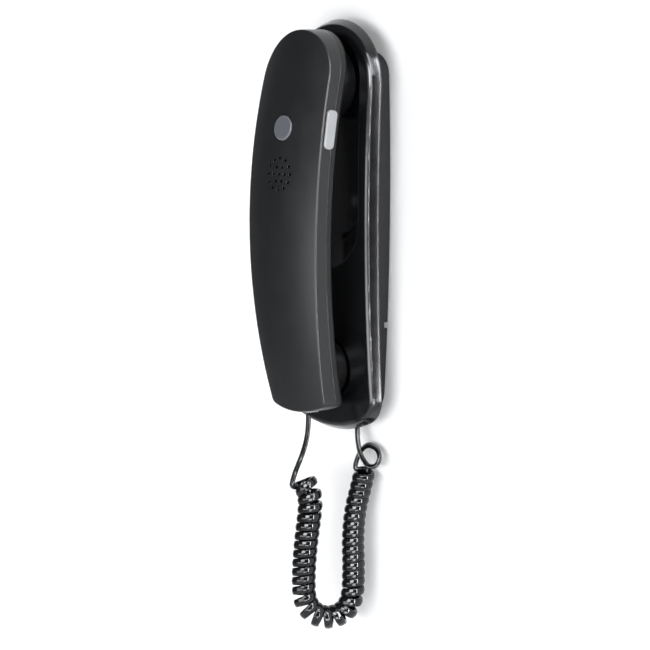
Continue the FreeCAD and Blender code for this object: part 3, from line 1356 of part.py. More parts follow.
def base_electronics():
    board = block("base_board_blank", ("-base_board_half_width", "base_board_half_width"),
                  ("base_board_depth", BASE_BOARD_FRONT), ("-base_board_bottom", "-base_board_top"))
    bores = [shank_bore(f"base_board_hole_{i}", x, z, "base_board_depth", BASE_BOARD_FRONT, "small")
             for i, (x, z) in enumerate(BASE_BOARD_SCREWS)]
    bores.append(rod("stem_hole", "0", "plunger_z", "base_board_depth", BASE_BOARD_FRONT,
                     "plunger_stem_radius + plunger_hole_gap"))
    capacitor = rod("capacitor", "capacitor_x", "capacitor_z", BASE_BOARD_FRONT,
                    f"{BASE_BOARD_FRONT} + capacitor_height", "capacitor_radius")
    chip = block("chip", centred("0", "chip_width"), (BASE_BOARD_FRONT, f"{BASE_BOARD_FRONT} + chip_height"),
                 centred("chip_z", "chip_width"))
    flat_board = cut("base_board_flat", board, *bores)
    node("base_circuit_board", fuse("base_board_form", flat_board, capacitor, chip))
    node("board_screws", group("board_screw_set", [
        screw(f"board_screw_{i}", x, z, BASE_BOARD_FRONT, "small_screw_length", "small", from_behind=False)
        for i, (x, z) in enumerate(BASE_BOARD_SCREWS)]))

    terminal_front = f"{BASE_BOARD_FRONT} + terminal_thickness"
    terminal_top = "terminal_z + terminal_height / 2"
    body = block("terminal_blank", centred("0", "terminal_width"), (BASE_BOARD_FRONT, terminal_front),
                 centred("terminal_z", "terminal_height"))
    tools, screws = [], []
    for i in range(4):
        x = f"{i - 1.5} * terminal_screw_step"
        tools.append(block(f"wire_hole_{i}", centred(x, "terminal_wire_hole"),
                           ("terminal_wire_depth", "terminal_wire_depth + terminal_wire_hole"),
                           (f"{terminal_top} - terminal_wire_length", terminal_top)))
        tools.append(rod(f"terminal_bore_{i}", x, "terminal_z", "terminal_screw_depth", terminal_front,
                         "terminal_screw_radius + shank_gap"))
        screws.append(rod(f"terminal_screw_{i}", x, "terminal_z", "terminal_screw_depth",
                          f"{terminal_front} + terminal_screw_proud", "terminal_screw_radius"))
    node("terminal_block", cut("terminal_form", body, *tools))
    node("terminal_screws", group("terminal_screw_set", screws))

    node("hook_switch", block("hook_switch_body", ("hook_switch_x", "hook_switch_x + switch_width"),
                              (BASE_BOARD_FRONT, f"{BASE_BOARD_FRONT} + hook_switch_height"),
                              centred("plunger_z", "switch_width")))
    flange_front = "plunger_flange_depth + plunger_flange"
    head = rod("plunger_head", "0", "plunger_z", flange_front, "mouth_cup_depth - plunger_tip_gap",
               "plunger_radius")
    flange = rod("plunger_flange", "0", "plunger_z", "plunger_flange_depth", flange_front,
                 "plunger_flange_radius")
    stem = rod("plunger_stem", "0", "plunger_z", "plunger_stem_end", "plunger_flange_depth",
               "plunger_stem_radius")
    node("hook_plunger", fuse("plunger_form", head, flange, stem))
    jack("base_jack", "base_jack_x", "base_jack_depth", LOWER_WALL_FRONT,
         "-(skirt_bottom - skirt_wall) + jack_gap", BASE_PLUG_FOOT)
    plug("base_plug", "base_jack_x", "base_jack_depth", BASE_PLUG_FOOT)


def unit(vector):
    return vector / vector.Length


def arc_from(start, direction, end):
    """The middle of the arc that leaves start in a direction and reaches end."""
    chord = end - start
    inward = unit(chord - direction * chord.dot(direction))
    radius = chord.dot(chord) / (2 * chord.dot(inward))
    centre = start + inward * radius
    return centre + unit((start - centre) + (end - centre)) * radius


def two_arcs(a, a_direction, b, b_direction):
    """Two arcs that lead from one point and direction to another."""
    chord = b - a
    both_ways = a_direction + b_direction
    spread = 2 * (1 - a_direction.dot(b_direction))
    along = chord.dot(both_ways)
    reach = (math.sqrt(along**2 + spread * chord.dot(chord)) - along) / spread
    middle = (a + b + (a_direction - b_direction) * reach) / 2
    return [
        Part.Arc(a, arc_from(a, a_direction, middle), middle).toShape(),
        Part.Arc(middle, arc_from(b, b_direction * -1, middle), b).toShape(),
    ]


def rounded_route(points, share=0.45):
    """Straight runs joined by tangent arcs, each as large as its two runs allow, and their radii."""
    edges, radii, start = [], [], points[0]
    for before, corner, after in zip(points, points[1:], points[2:]):
        inward, outward = unit(corner - before), unit(after - corner)
        half_turn = inward.getAngle(outward) / 2
        step = share * min((corner - before).Length, (after - corner).Length)
        radius = step / math.tan(half_turn)
        first, last = corner - inward * step, corner + outward * step
        middle = corner + unit(outward - inward) * (radius / math.cos(half_turn) - radius)
        edges += [Part.LineSegment(start, first).toShape(), Part.Arc(first, middle, last).toShape()]
        radii.append(radius)
        start = last
    edges.append(Part.LineSegment(start, points[-1]).toShape())
    return edges, radii


def sweep(name, edges, radius):
    """A round tube along a path, as a node."""
    path = Part.Wire(edges)
    first = path.Edges[0]
    section = Part.Wire(Part.makeCircle(radius, first.valueAt(first.FirstParameter),
                                        first.tangentAt(first.FirstParameter)))
    solid = path.makePipeShell([section], True, False)
    expected = math.pi * radius**2 * path.Length
    print(f"{name}: length {path.Length:.1f}, volume {solid.Volume / expected:.5f} of section by length")
    thing = doc.addObject("Part::Feature", name + "_tube")
    thing.Shape = solid
    return node(name, thing)


WINDOW = 40


def least_gap(points, spacing, diameter):
    """The least distance between a tube's surfaces, from points a steady step apart on its middle line."""
    skip = int(math.pi * diameter / 2 / spacing) + 1
    nearest = min(
        (a - b).Length for i, a in enumerate(points) for b in points[i + skip:i + WINDOW * skip]
    )
    return nearest - diameter


TURN_STEP = math.pi / 2


def plunger_spring():
    wire, radius = size("spring_wire_radius"), size("spring_radius")
    low = size("base_board_depth") + size("board_thickness") + wire
    high = size("plunger_flange_depth") - wire
    count = round(4 * size("spring_turns"))
    rise = (high - low) / count

    def at(i):
        angle = i * TURN_STEP
        place = Vector(radius * math.cos(angle), -(low + rise * i),
                       size("plunger_z") + radius * math.sin(angle))
        way = Vector(-radius * math.sin(angle), -rise / TURN_STEP, radius * math.cos(angle))
        return place, unit(way)

    edges = []
    for i in range(count):
        edges += two_arcs(*at(i), *at(i + 1))
    sweep("plunger_spring", edges, wire)


def unit_vectors():
    """Directions in the upright plane in which the cord hangs: along it, and out of it to the front."""
    along = unit(Vector(size("right_leg_x"), amount(HANDSET_JACK_DEPTH) - size("right_leg_depth"), 0))
    return along, Vector(along.y, -along.x, 0)


# The cord's routes were chosen by hand. A point of the coil's axis and of the handset's lead is how far
# along the hanging plane it lies from the handset's exit, how far in front of that plane, and its height.
# The inlet way and the outlet way are the directions in which the cord enters and leaves the coil.
HANDSET_LEAD = [
    (0.0, 0.0, 0.0),
    (0.0, 0.0, -5.6),
    (-0.6, 0.1, -12.0),
    (-2.2, 0.2, -18.6),
    (-4.6, 0.0, -25.0),
]
COIL_AXIS = [
    (-2.4, -2.4, -34.8),
    (-0.4, -1.3, -38.0),
    (0.8, -0.4, -42.4),
    (0.9, 0.0, -47.5),
    (0.2, 0.0, -54.0),
    (-1.4, 0.0, -66.0),
    (-2.6, 0.0, -82.0),
    (-2.1, 0.0, -96.0),
    (4.9, 0.0, -103.2),
    (15.1, 0.0, -103.2),
    (22.3, 0.0, -96.3),
    (22.9, 0.0, -78.0),
    (22.3, 0.0, -64.0),
    (23.6, 0.0, -49.0),
    (25.9, 1.4, -39.5),
    (27.6, 3.2, -30.6),
]
INLET_WAY = (-0.3, 0.05, -0.95)
OUTLET_WAY = (0.37, -0.31, 0.88)

# A point of the base's lead is how far to the right of the base's exit it lies, how much further out
# from the wall, and its height.
BASE_LEAD = [
    (0.0, 0.0, 0.0),
    (0.0, 0.0, -6.5),
    (1.6, 1.2, -12.6),
    (4.0, 2.0, -18.2),
    (7.2, 1.8, -22.2),
    (10.2, 1.4, -25.0),
    (13.6, -0.2, -24.2),
    (14.6, -1.8, -21.0),
    (12.8, -2.9, -17.2),
    (8.6, -3.2, -14.9),
    (4.0, -3.0, -14.5),
]


def curly_cord():
    along, aside = unit_vectors()
    start = Vector(0, -amount(HANDSET_JACK_DEPTH), -size("handset_bottom") - size("plug_proud"))
    end = Vector(size("base_jack_x"), -size("base_jack_depth"), -size("skirt_bottom") - size("plug_proud"))
    diameter = size("cord_diameter")

    def radius(distance):
        across = size("left_coil_diameter")
        across += (size("right_coil_diameter") - across) * min(1, max(0, distance / total))
        return (across - diameter) / 2

    def place(origin, s, b, z):
        return origin + along * s + aside * b + Vector(0, 0, z)

    axis_edges, bends = rounded_route([place(start, *point) for point in COIL_AXIS])
    lengths = [edge.Length for edge in axis_edges]
    total = sum(lengths)

    def frame(distance):
        """The point of the coil's axis at a distance along it, its direction and the normal in the plane."""
        rest = min(max(distance, 0), total)
        for edge, length in zip(axis_edges, lengths):
            if rest <= length or edge is axis_edges[-1]:
                at = edge.getParameterByLength(min(rest, length))
                way = edge.tangentAt(at)
                return edge.valueAt(at), way, unit(aside.cross(way))
            rest -= length

    def pitch(distance):
        point = frame(distance)[0]
        opening = max(0, 1 - distance / size("first_turns_length"))
        leg = size("left_pitch") + (size("first_pitch") - size("left_pitch")) * opening
        if distance > total / 2:
            leg = size("right_pitch")
        share = min(1, max(0, (size("bend_start_z") + size("pitch_blend") - point.z) / size("pitch_blend")))
        return leg + (size("bend_pitch") - leg) * share

    fine = 0.25
    marks = [(0.0, 0.0)]
    while marks[-1][0] < total:
        distance, turned = marks[-1]
        marks.append((distance + fine, turned + fine / pitch(distance + fine / 2)))

    first_angle = math.pi + math.atan2(size("coil_entry"), radius(0))
    last_angle = -math.pi / 2
    turns = marks[-1][1]
    whole = round(turns - (last_angle - first_angle) / (2 * math.pi))
    sweep_angle = last_angle - first_angle + 2 * math.pi * whole
    count = round(sweep_angle / TURN_STEP)
    step = sweep_angle / count

    def distance_at(turned):
        for (d0, t0), (d1, t1) in zip(marks, marks[1:]):
            if t1 >= turned:
                return d0 + (d1 - d0) * (turned - t0) / (t1 - t0)
        return marks[-1][0]

    def on_coil(i):
        distance = distance_at(turns * i / count)
        middle, way, normal = frame(distance)
        angle = first_angle + step * i
        return middle + (normal * math.cos(angle) + normal.cross(way) * -math.sin(angle)) * radius(distance)

    def direction(i):
        small = 0.01
        return unit(on_coil(min(count, i + small)) - on_coil(max(0, i - small)))

    edges = []
    inward, outward = unit(place(Vector(), *INLET_WAY)), unit(place(Vector(), *OUTLET_WAY))
    first, first_way = on_coil(0), direction(0)
    inlet = first - (unit(Vector(first_way.x, first_way.y, 0)) + inward) * size("coil_entry")
    last, last_way = on_coil(count), direction(count)
    outlet = last + (unit(Vector(last_way.x, last_way.y, 0)) + outward) * size("coil_exit")
    inlet_face, outlet_face = inlet - inward * size("coil_end"), outlet + outward * size("coil_end")
    edges.append(Part.LineSegment(inlet_face, inlet).toShape())
    edges += two_arcs(inlet, inward, first, first_way)
    for i in range(count):
        edges += two_arcs(on_coil(i), direction(i), on_coil(i + 1), direction(i + 1))
    edges += two_arcs(last, last_way, outlet, outward)
    edges.append(Part.LineSegment(outlet, outlet_face).toShape())
    radii = [edge.Curve.Radius for edge in edges if hasattr(edge.Curve, "Radius")]
    print(f"cord coil: {turns:.1f} turns, least bend radius {min(radii):.2f}, axis bends {min(bends):.1f}")
    path = Part.Wire(edges)
    spacing = 0.8
    gap = least_gap(path.discretize(Distance=spacing), spacing, diameter)
    print(f"cord coil: least gap to itself {gap:.2f}")
    sweep("cord_coil", edges, diameter / 2)

    handset_route = [place(start, *point) for point in HANDSET_LEAD]
    handset_route += [inlet_face - inward * diameter, inlet_face]
    base_route = [end + Vector(right, -out, height) for right, out, height in BASE_LEAD]
    base_route += [outlet_face + outward * diameter, outlet_face]
    for name, route in (("cord_handset_lead", handset_route), ("cord_base_lead", base_route)):
        edges, radii = rounded_route(route)
        print(f"{name}: bend radii {[round(r, 1) for r in radii]}")
        sweep(name, edges, diameter / 2)


handset()
base()
back_housing()
wall_bracket()
base_electronics()
plunger_spring()
curly_cord()
doc.recompute()

for thing in doc.Objects:
    faults = {"Invalid", "Error"} & set(thing.State)
    if faults:
        raise ValueError(f"{thing.Name} is {faults}")
    shape = getattr(thing, "Shape", None)
    if shape is not None and (shape.isNull() or not shape.isValid()):
        raise ValueError(f"{thing.Name} has no valid shape")

os.makedirs("parts", exist_ok=True)
for thing in NODES:
    thing.Shape.exportStep(f"parts/{thing.Label}.step")
    print(thing.Label, len(thing.Shape.Solids), round(thing.Shape.Volume, 1))
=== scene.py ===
import json
import math

import bpy
from mathutils import Matrix, Vector


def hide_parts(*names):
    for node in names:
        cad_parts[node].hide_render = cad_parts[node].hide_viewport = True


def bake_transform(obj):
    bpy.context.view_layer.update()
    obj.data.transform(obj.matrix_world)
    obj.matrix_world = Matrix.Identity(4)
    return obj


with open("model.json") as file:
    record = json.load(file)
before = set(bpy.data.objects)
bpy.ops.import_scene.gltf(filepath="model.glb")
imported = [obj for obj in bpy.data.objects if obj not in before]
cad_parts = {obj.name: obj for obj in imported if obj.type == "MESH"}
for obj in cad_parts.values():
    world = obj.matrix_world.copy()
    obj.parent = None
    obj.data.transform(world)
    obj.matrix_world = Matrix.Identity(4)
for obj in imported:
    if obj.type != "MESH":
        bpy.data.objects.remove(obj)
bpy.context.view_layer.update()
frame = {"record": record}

MM = 0.001

# Camera: the photograph's view, 48 degrees round to the right and a little from above

AZIMUTH = math.radians(48.0)
ELEVATION = math.radians(4.6)
DISTANCE = 1.84
VIEW_WIDTH = 0.325
TARGET_RIGHT = -0.01325
TARGET_UP = -0.051
CLIP = (0.1, 20)

RIGHT = Vector((math.cos(AZIMUTH), math.sin(AZIMUTH), 0))
UP = Vector((-math.sin(AZIMUTH) * math.sin(ELEVATION),
             math.cos(AZIMUTH) * math.sin(ELEVATION),
             math.cos(ELEVATION)))
BACK = Vector((math.sin(AZIMUTH) * math.cos(ELEVATION),
               -math.cos(AZIMUTH) * math.cos(ELEVATION),
               math.sin(ELEVATION)))
target = RIGHT * TARGET_RIGHT + UP * TARGET_UP

camera = bpy.data.objects.new("camera", bpy.data.cameras.new("camera"))
bpy.context.scene.collection.objects.link(camera)
camera.data.lens = camera.data.sensor_width * DISTANCE / VIEW_WIDTH
camera.data.clip_start, camera.data.clip_end = CLIP
camera.location = target + BACK * DISTANCE
camera.rotation_euler = Matrix((RIGHT, UP, BACK)).transposed().to_euler()
bpy.context.scene.camera = camera
bpy.context.scene.view_settings.view_transform = "Standard"


# Materials. Sizes in them are in millimetres.

TONE_SIZE, GLOSS_SIZE = 9.0, 6.0
HANDSET_TONE_SIZE, HANDSET_GLOSS_SIZE = 14.0, 9.0
METAL_TONE_SIZE, METAL_GRAIN_SIZE = 3.0, 0.2
PATCH_SPAN = (0.3, 0.7)
BEVEL_SAMPLES, SEAM_SHADE_SAMPLES = 6, 8
EDGE_DOT = (0.85, 0.99)
# How far the painted shade in the handset's seams reaches, and over which span of occlusion it fades.
SEAM_SHADE_REACH = 2.0
SEAM_SHADE_OPEN = (0.5, 0.92)
WORN_SMOOTHER, EDGE_SMOOTHER, SIDE_SMOOTHER = 0.15, 0.26, 0.06
METAL_SMOOTHER, METAL_ROUGHER = 0.08, 0.1
CROWN_DEPTH, CROWN_RADIUS = 10.4, 42.0


class Nodes:
    """A material's node tree with short ways to add and join nodes."""

    def __init__(self, name):
        self.material = bpy.data.materials.new(name)
        self.material.use_nodes = True
        self.tree = self.material.node_tree
        self.shader = self.tree.nodes["Principled BSDF"]

    def add(self, kind, **settings):
        node = self.tree.nodes.new("ShaderNode" + kind)
        for key, value in settings.items():
            setattr(node, key, value)
        return node

    def join(self, source, target):
        self.tree.links.new(source, target)

    def preset(self, **numbers):
        """Sets the shader's own sockets, named with _ for a space."""
        for key, value in numbers.items():
            self.shader.inputs[key.replace("_", " ")].default_value = value

    def place(self):
        """Object coordinates in millimetres."""
        where = self.add("TexCoord")
        mapping = self.add("Mapping")
        mapping.inputs["Scale"].default_value = [1 / MM] * 3
        self.join(where.outputs["Object"], mapping.inputs["Vector"])
        return mapping.outputs["Vector"]

    def noise(self, size, detail=3.0):
        """Noise whose grains are about size millimetres across."""
        texture = self.add("TexNoise")
        texture.inputs["Scale"].default_value = 1 / size
        texture.inputs["Detail"].default_value = detail
        self.join(self.place(), texture.inputs["Vector"])
        return texture.outputs["Fac"]

    def steps(self, source, values, span=(0.0, 1.0)):
        """A source over a span, mapped to the two values."""
        ramp = self.add("MapRange")
        for socket, number in zip(("From Min", "From Max", "To Min", "To Max"), (*span, *values)):
            ramp.inputs[socket].default_value = number
        self.join(source, ramp.inputs["Value"])
        return ramp.outputs["Result"]

    def math(self, operation, a, b=None):
        node = self.add("Math", operation=operation)
        for socket, value in zip(node.inputs, (a, b)):
            if isinstance(value, (int, float)):
                socket.default_value = value
            elif value is not None:
                self.join(value, socket)
        return node.outputs["Value"]

    def mix(self, source, first, second):
        """A colour or a socket's colour, mixed with a second colour where the source is 1."""
        mix = self.add("Mix", data_type="RGBA")
        if isinstance(first, bpy.types.NodeSocket):
            self.join(first, mix.inputs["A"])
        else:
            mix.inputs["A"].default_value = (*first, 1)
        mix.inputs["B"].default_value = (*second, 1)
        self.join(source, mix.inputs["Factor"])
        self.join(mix.outputs["Result"], self.shader.inputs["Base Color"])
        return mix.outputs["Result"]

    def rounded_edges(self, radius):
        """Normals that turn smoothly over the edges, as if they had a radius in millimetres."""
        node = self.add("Bevel", samples=BEVEL_SAMPLES)
        node.inputs["Radius"].default_value = radius * MM
        return node.outputs["Normal"]

    def edge_weight(self, rounded):
        """1 along a square edge and 0 away from the edges."""
        dot = self.add("VectorMath", operation="DOT_PRODUCT")
        self.join(rounded, dot.inputs[0])
        self.join(self.add("NewGeometry").outputs["Normal"], dot.inputs[1])
        return self.steps(dot.outputs["Value"], (1.0, 0.0), EDGE_DOT)

    def bump(self, source, height, before=None):
        """A bump of a height in millimetres."""
        node = self.add("Bump")
        node.inputs["Strength"].default_value = 1
        node.inputs["Distance"].default_value = height * MM
        self.join(source, node.inputs["Height"])
        if before is not None:
            self.join(before, node.inputs["Normal"])
        self.join(node.outputs["Normal"], self.shader.inputs["Normal"])
        return node.outputs["Normal"]

    def gloss(self, size, rough, smoother=()):
        """Patchy roughness. Each pair of smoother is a weight and how much roughness it takes off."""
        value = self.steps(self.noise(size, detail=6.0), rough, PATCH_SPAN)
        for weight, amount in smoother:
            value = self.math("SUBTRACT", value, self.math("MULTIPLY", weight, amount))
        self.join(value, self.shader.inputs["Roughness"])

    def side_weight(self, span):
        """1 where a surface faces left or right and 0 where it faces to the front."""
        parts = self.add("SeparateXYZ")
        self.join(self.add("TexCoord").outputs["Normal"], parts.inputs["Vector"])
        return self.steps(self.math("ABSOLUTE", parts.outputs["X"]), (0.0, 1.0), span)


def moulded(name, dark, light, rough, grain, depth, ior=1.5, coat=0.0, edge=0.3, painted_edge_tone=None):
    """Moulded plastic: a faint change of tone, fine grain and patchy gloss. Where fingers rub it, the
    edges are worn smoother. Where an edge tone is given, the edges are painted in that tone as
    painted light: a painted highlight where it is lighter, painted shade where it is darker."""
    nodes = Nodes(name)
    nodes.preset(IOR=ior, Coat_Weight=coat, Coat_Roughness=0.08)
    tone = nodes.mix(nodes.noise(TONE_SIZE), dark, light)
    rounded = nodes.rounded_edges(edge)
    smoother = []
    if painted_edge_tone:
        # The edge tone is painted light: lighter edges are a painted highlight, darker edges are
        # painted shade.
        weight = nodes.edge_weight(rounded)
        nodes.mix(weight, tone, painted_edge_tone)
        smoother = [(weight, WORN_SMOOTHER)]
    nodes.gloss(GLOSS_SIZE, rough, smoother)
    nodes.bump(nodes.noise(grain, detail=4.0), depth, rounded)
    return nodes.material


def gloss_black(name):
    """Polished black. The left and right sides are crowned by a fifth of a millimetre."""
    nodes = Nodes(name)
    nodes.preset(IOR=1.6)
    nodes.mix(nodes.noise(TONE_SIZE), (0.006, 0.0065, 0.0075), (0.009, 0.0095, 0.011))
    nodes.gloss(GLOSS_SIZE, (0.13, 0.17))
    parts = nodes.add("SeparateXYZ")
    nodes.join(nodes.place(), parts.inputs["Vector"])
    depth = nodes.math("ADD", parts.outputs["Y"], CROWN_DEPTH)
    crown = nodes.math("MULTIPLY", nodes.math("MULTIPLY", depth, depth), -1 / (2 * CROWN_RADIUS))
    crown = nodes.math("MULTIPLY", crown, nodes.side_weight((0.75, 0.88)))
    crowned = nodes.bump(crown, 1.0, nodes.rounded_edges(1.3))
    nodes.bump(nodes.noise(1.6, detail=4.0), 0.0006, crowned)
    return nodes.material


def handset_plastic(name, dark, light, ior):
    """Satin on the bowed front, finely textured round the sides and polished on the edges. Its
    reflection is painted darker in the seams and creases, as painted shade."""
    nodes = Nodes(name)
    nodes.preset(IOR=ior, Coat_Roughness=0.1, Coat_IOR=1.7)
    nodes.mix(nodes.noise(HANDSET_TONE_SIZE), dark, light)
    # Painted shade: the reflection is turned down in seams and creases, where shade falls.
    painted_seam_shade = nodes.add("AmbientOcclusion", samples=SEAM_SHADE_SAMPLES)
    painted_seam_shade.inputs["Distance"].default_value = SEAM_SHADE_REACH * MM
    nodes.join(nodes.steps(painted_seam_shade.outputs["AO"], (0.0, 0.5), SEAM_SHADE_OPEN),
               nodes.shader.inputs["Specular IOR Level"])
    rounded = nodes.rounded_edges(0.6)
    edge = nodes.edge_weight(rounded)
    nodes.join(edge, nodes.shader.inputs["Coat Weight"])
    side = nodes.side_weight((0.6, 0.8))
    nodes.gloss(HANDSET_GLOSS_SIZE, (0.36, 0.42), [(edge, EDGE_SMOOTHER), (side, SIDE_SMOOTHER)])
    fine = nodes.bump(nodes.noise(0.35), 0.006, rounded)
    nodes.bump(nodes.math("MULTIPLY", nodes.noise(0.28, detail=2.0), side), 0.03, fine)
    return nodes.material


def metal(name, colour, rough):
    nodes = Nodes(name)
    nodes.preset(Metallic=1)
    nodes.mix(nodes.noise(METAL_TONE_SIZE), [part * 0.85 for part in colour], colour)
    lines = nodes.noise(METAL_GRAIN_SIZE, detail=5.0)
    nodes.join(nodes.steps(lines, (rough - METAL_SMOOTHER, rough + METAL_ROUGHER)),
               nodes.shader.inputs["Roughness"])
    nodes.bump(lines, 0.004)
    return nodes.material


# Name, darker and lighter tone, range of roughness, grain size and depth, and the other settings
PLASTICS = [
    ("black_plastic", (0.009, 0.009, 0.0095), (0.013, 0.013, 0.0135), (0.42, 0.52), 0.3, 0.02,
     {"ior": 1.4}),
    # The grey button's much lighter edge tone is a painted highlight round its rim.
    ("grey_button", (0.1, 0.108, 0.122), (0.115, 0.123, 0.138), (0.36, 0.44), 0.3, 0.008,
     {"edge": 1.1, "painted_edge_tone": (0.5, 0.51, 0.54)}),
    # The light grey button's darker edge tone is painted shade along its edges.
    ("light_grey_button", (0.58, 0.59, 0.6), (0.62, 0.63, 0.64), (0.36, 0.44), 0.3, 0.008,
     {"edge": 0.8, "painted_edge_tone": (0.42, 0.43, 0.44)}),
    ("clear_plastic", (0.5, 0.52, 0.52), (0.58, 0.6, 0.6), (0.1, 0.16), 0.8, 0.004, {}),
    ("white_plastic", (0.62, 0.62, 0.6), (0.7, 0.7, 0.68), (0.4, 0.5), 0.3, 0.01, {}),
    ("rubber_black", (0.015, 0.015, 0.015), (0.025, 0.025, 0.025), (0.65, 0.8), 0.25, 0.03, {}),
    ("circuit_board", (0.012, 0.09, 0.04), (0.02, 0.13, 0.055), (0.3, 0.4), 1.5, 0.01, {}),
    ("cord_black", (0.004, 0.0042, 0.005), (0.006, 0.0064, 0.0075), (0.11, 0.15), 0.8, 0.002,
     {"ior": 1.42, "coat": 0.15, "edge": 0.2}),
]

# Name, tone and roughness
METALS = [
    ("screw_steel", (0.55, 0.55, 0.56), 0.32),
    ("spring_steel", (0.6, 0.6, 0.61), 0.22),
    ("capsule_aluminium", (0.7, 0.7, 0.71), 0.3),
    ("ballast_iron", (0.2, 0.2, 0.2), 0.6),
    ("brass", (0.7, 0.55, 0.25), 0.3),
]
materials = {"gloss_black": gloss_black("gloss_black")}
for *plastic, options in PLASTICS:
    materials[plastic[0]] = moulded(*plastic, **options)
for alloy in METALS:
    materials[alloy[0]] = metal(*alloy)
front_black = handset_plastic("front_black", (0.006, 0.0064, 0.0072), (0.008, 0.0084, 0.0094), 1.5)
rear_black = handset_plastic("rear_black", (0.006, 0.0063, 0.007), (0.008, 0.0084, 0.0092), 1.4)


def dress(node, material):
    thing = bpy.data.objects[node]
    thing.data.materials.clear()
    thing.data.materials.append(material)


for subpart in frame["record"]["subparts"]:
    dress(subpart["node"], materials[subpart["material_slot"]])
dress("handset_front_shell", front_black)
dress("handset_rear_shell", rear_black)


# Curly cord. Its routes are given points in millimetres. A point of the handset's lead and of the
# coil's axis is how far along the plane in which the cord hangs, how far in front of that plane, and
# its height above the exit, which is below 0. A point of the base's lead is how far right, how much
# further out, and its height. The plane goes from the handset's exit to the coil's right leg.

HANDSET_EXIT = Vector((0, -28.9, -92.8)) * MM
BASE_EXIT = Vector((10.9, -6.0, -95.5)) * MM
HANDSET_LEAD = [
    (0.0, 0.0, 0.0),
    (0.0, 0.0, -5.6),
    (-0.6, 0.1, -12.0),
    (-2.2, 0.2, -18.6),
    (-4.6, 0.0, -25.0),
]
COIL_AXIS = [
    (-2.4, -2.4, -34.8),
    (-0.4, -1.3, -38.0),
    (0.8, -0.4, -42.4),
    (0.9, 0.0, -47.5),
    (0.2, 0.0, -54.0),
    (-1.4, 0.0, -66.0),
    (-2.6, 0.0, -82.0),
    (-2.1, 0.0, -96.0),
    (4.9, 0.0, -103.2),
    (15.1, 0.0, -103.2),
    (22.3, 0.0, -96.3),
    (22.9, 0.0, -78.0),
    (22.3, 0.0, -64.0),
    (23.6, 0.0, -49.0),
    (25.9, 1.4, -39.5),
    (27.6, 3.2, -30.6),
]
INLET_WAY = (-0.3, 0.05, -0.95)
OUTLET_WAY = (0.37, -0.31, 0.88)
BASE_LEAD = [
    (0.0, 0.0, 0.0),
    (0.0, 0.0, -6.5),
    (1.6, 1.2, -12.6),
    (4.0, 2.0, -18.2),
    (7.2, 1.8, -22.2),
    (10.2, 1.4, -25.0),
    (13.6, -0.2, -24.2),
    (14.6, -1.8, -21.0),
    (12.8, -2.9, -17.2),
    (8.6, -3.2, -14.9),
    (4.0, -3.0, -14.5),
]
CORD_WIDTH = 4.2 * MM
CORD_THICKNESS = 2.5 * MM
LEFT_RADIUS, RIGHT_RADIUS = 5.25 * MM, 4.4 * MM
LEFT_PITCH, RIGHT_PITCH, BEND_PITCH, FIRST_PITCH = 4.4 * MM, 4.1 * MM, 5.2 * MM, 5.8 * MM
FIRST_TURNS = 20.0 * MM
BEND_START, PITCH_BLEND = -183.0 * MM, 5.0 * MM
ENTRY, EXIT, END_RUN = 3.6 * MM, 4.8 * MM, 5.4 * MM
STEPS_PER_TURN = 16
PITCH_STEPS = 1200
AXIS_RESOLUTION, ROUTE_RESOLUTION = 40, 4
NEAREST_POINTS = 0.1 * MM
RIGHT_LEG = Vector((13.2, -8.2, 0)) * MM

LEVEL = Vector((1, 1, 0))
ALONG = ((RIGHT_LEG - HANDSET_EXIT) * LEVEL).normalized()
ASIDE = Vector((ALONG.y, -ALONG.x, 0))
UPWARD = Vector((0, 0, 1))
LEAD_FACING = (BACK * 0.97 + RIGHT * 0.22).normalized()


def hanging(origin, along, aside, height):
    """A place from an origin, in millimetres along the hanging plane, in front of it and up."""
    return origin + (ALONG * along + ASIDE * aside + UPWARD * height) * MM


def smooth_line(name, points, resolution):
    """Points along the smooth curve that a NURBS spline makes of its control points."""
    curve = bpy.data.curves.new(name, "CURVE")
    curve.dimensions = "3D"
    spline = curve.splines.new("NURBS")
    spline.points.add(len(points) - 1)
    for control, point in zip(spline.points, points):
        control.co = (*point, 1)
    spline.order_u = 3
    spline.use_endpoint_u = True
    spline.resolution_u = resolution
    carrier = bpy.data.objects.new(name, curve)
    bpy.context.scene.collection.objects.link(carrier)
    mesh = bpy.data.meshes.new_from_object(carrier)
    line = [vertex.co.copy() for vertex in mesh.vertices]
    line = line[:1] + [point for before, point in zip(line, line[1:])
                       if (point - before).length > NEAREST_POINTS]
    bpy.data.objects.remove(carrier)
    bpy.data.curves.remove(curve)
    bpy.data.meshes.remove(mesh)
    return line


def distances(line):
    travelled = [0.0]
    for a, b in zip(line, line[1:]):
        travelled.append(travelled[-1] + (b - a).length)
    return travelled


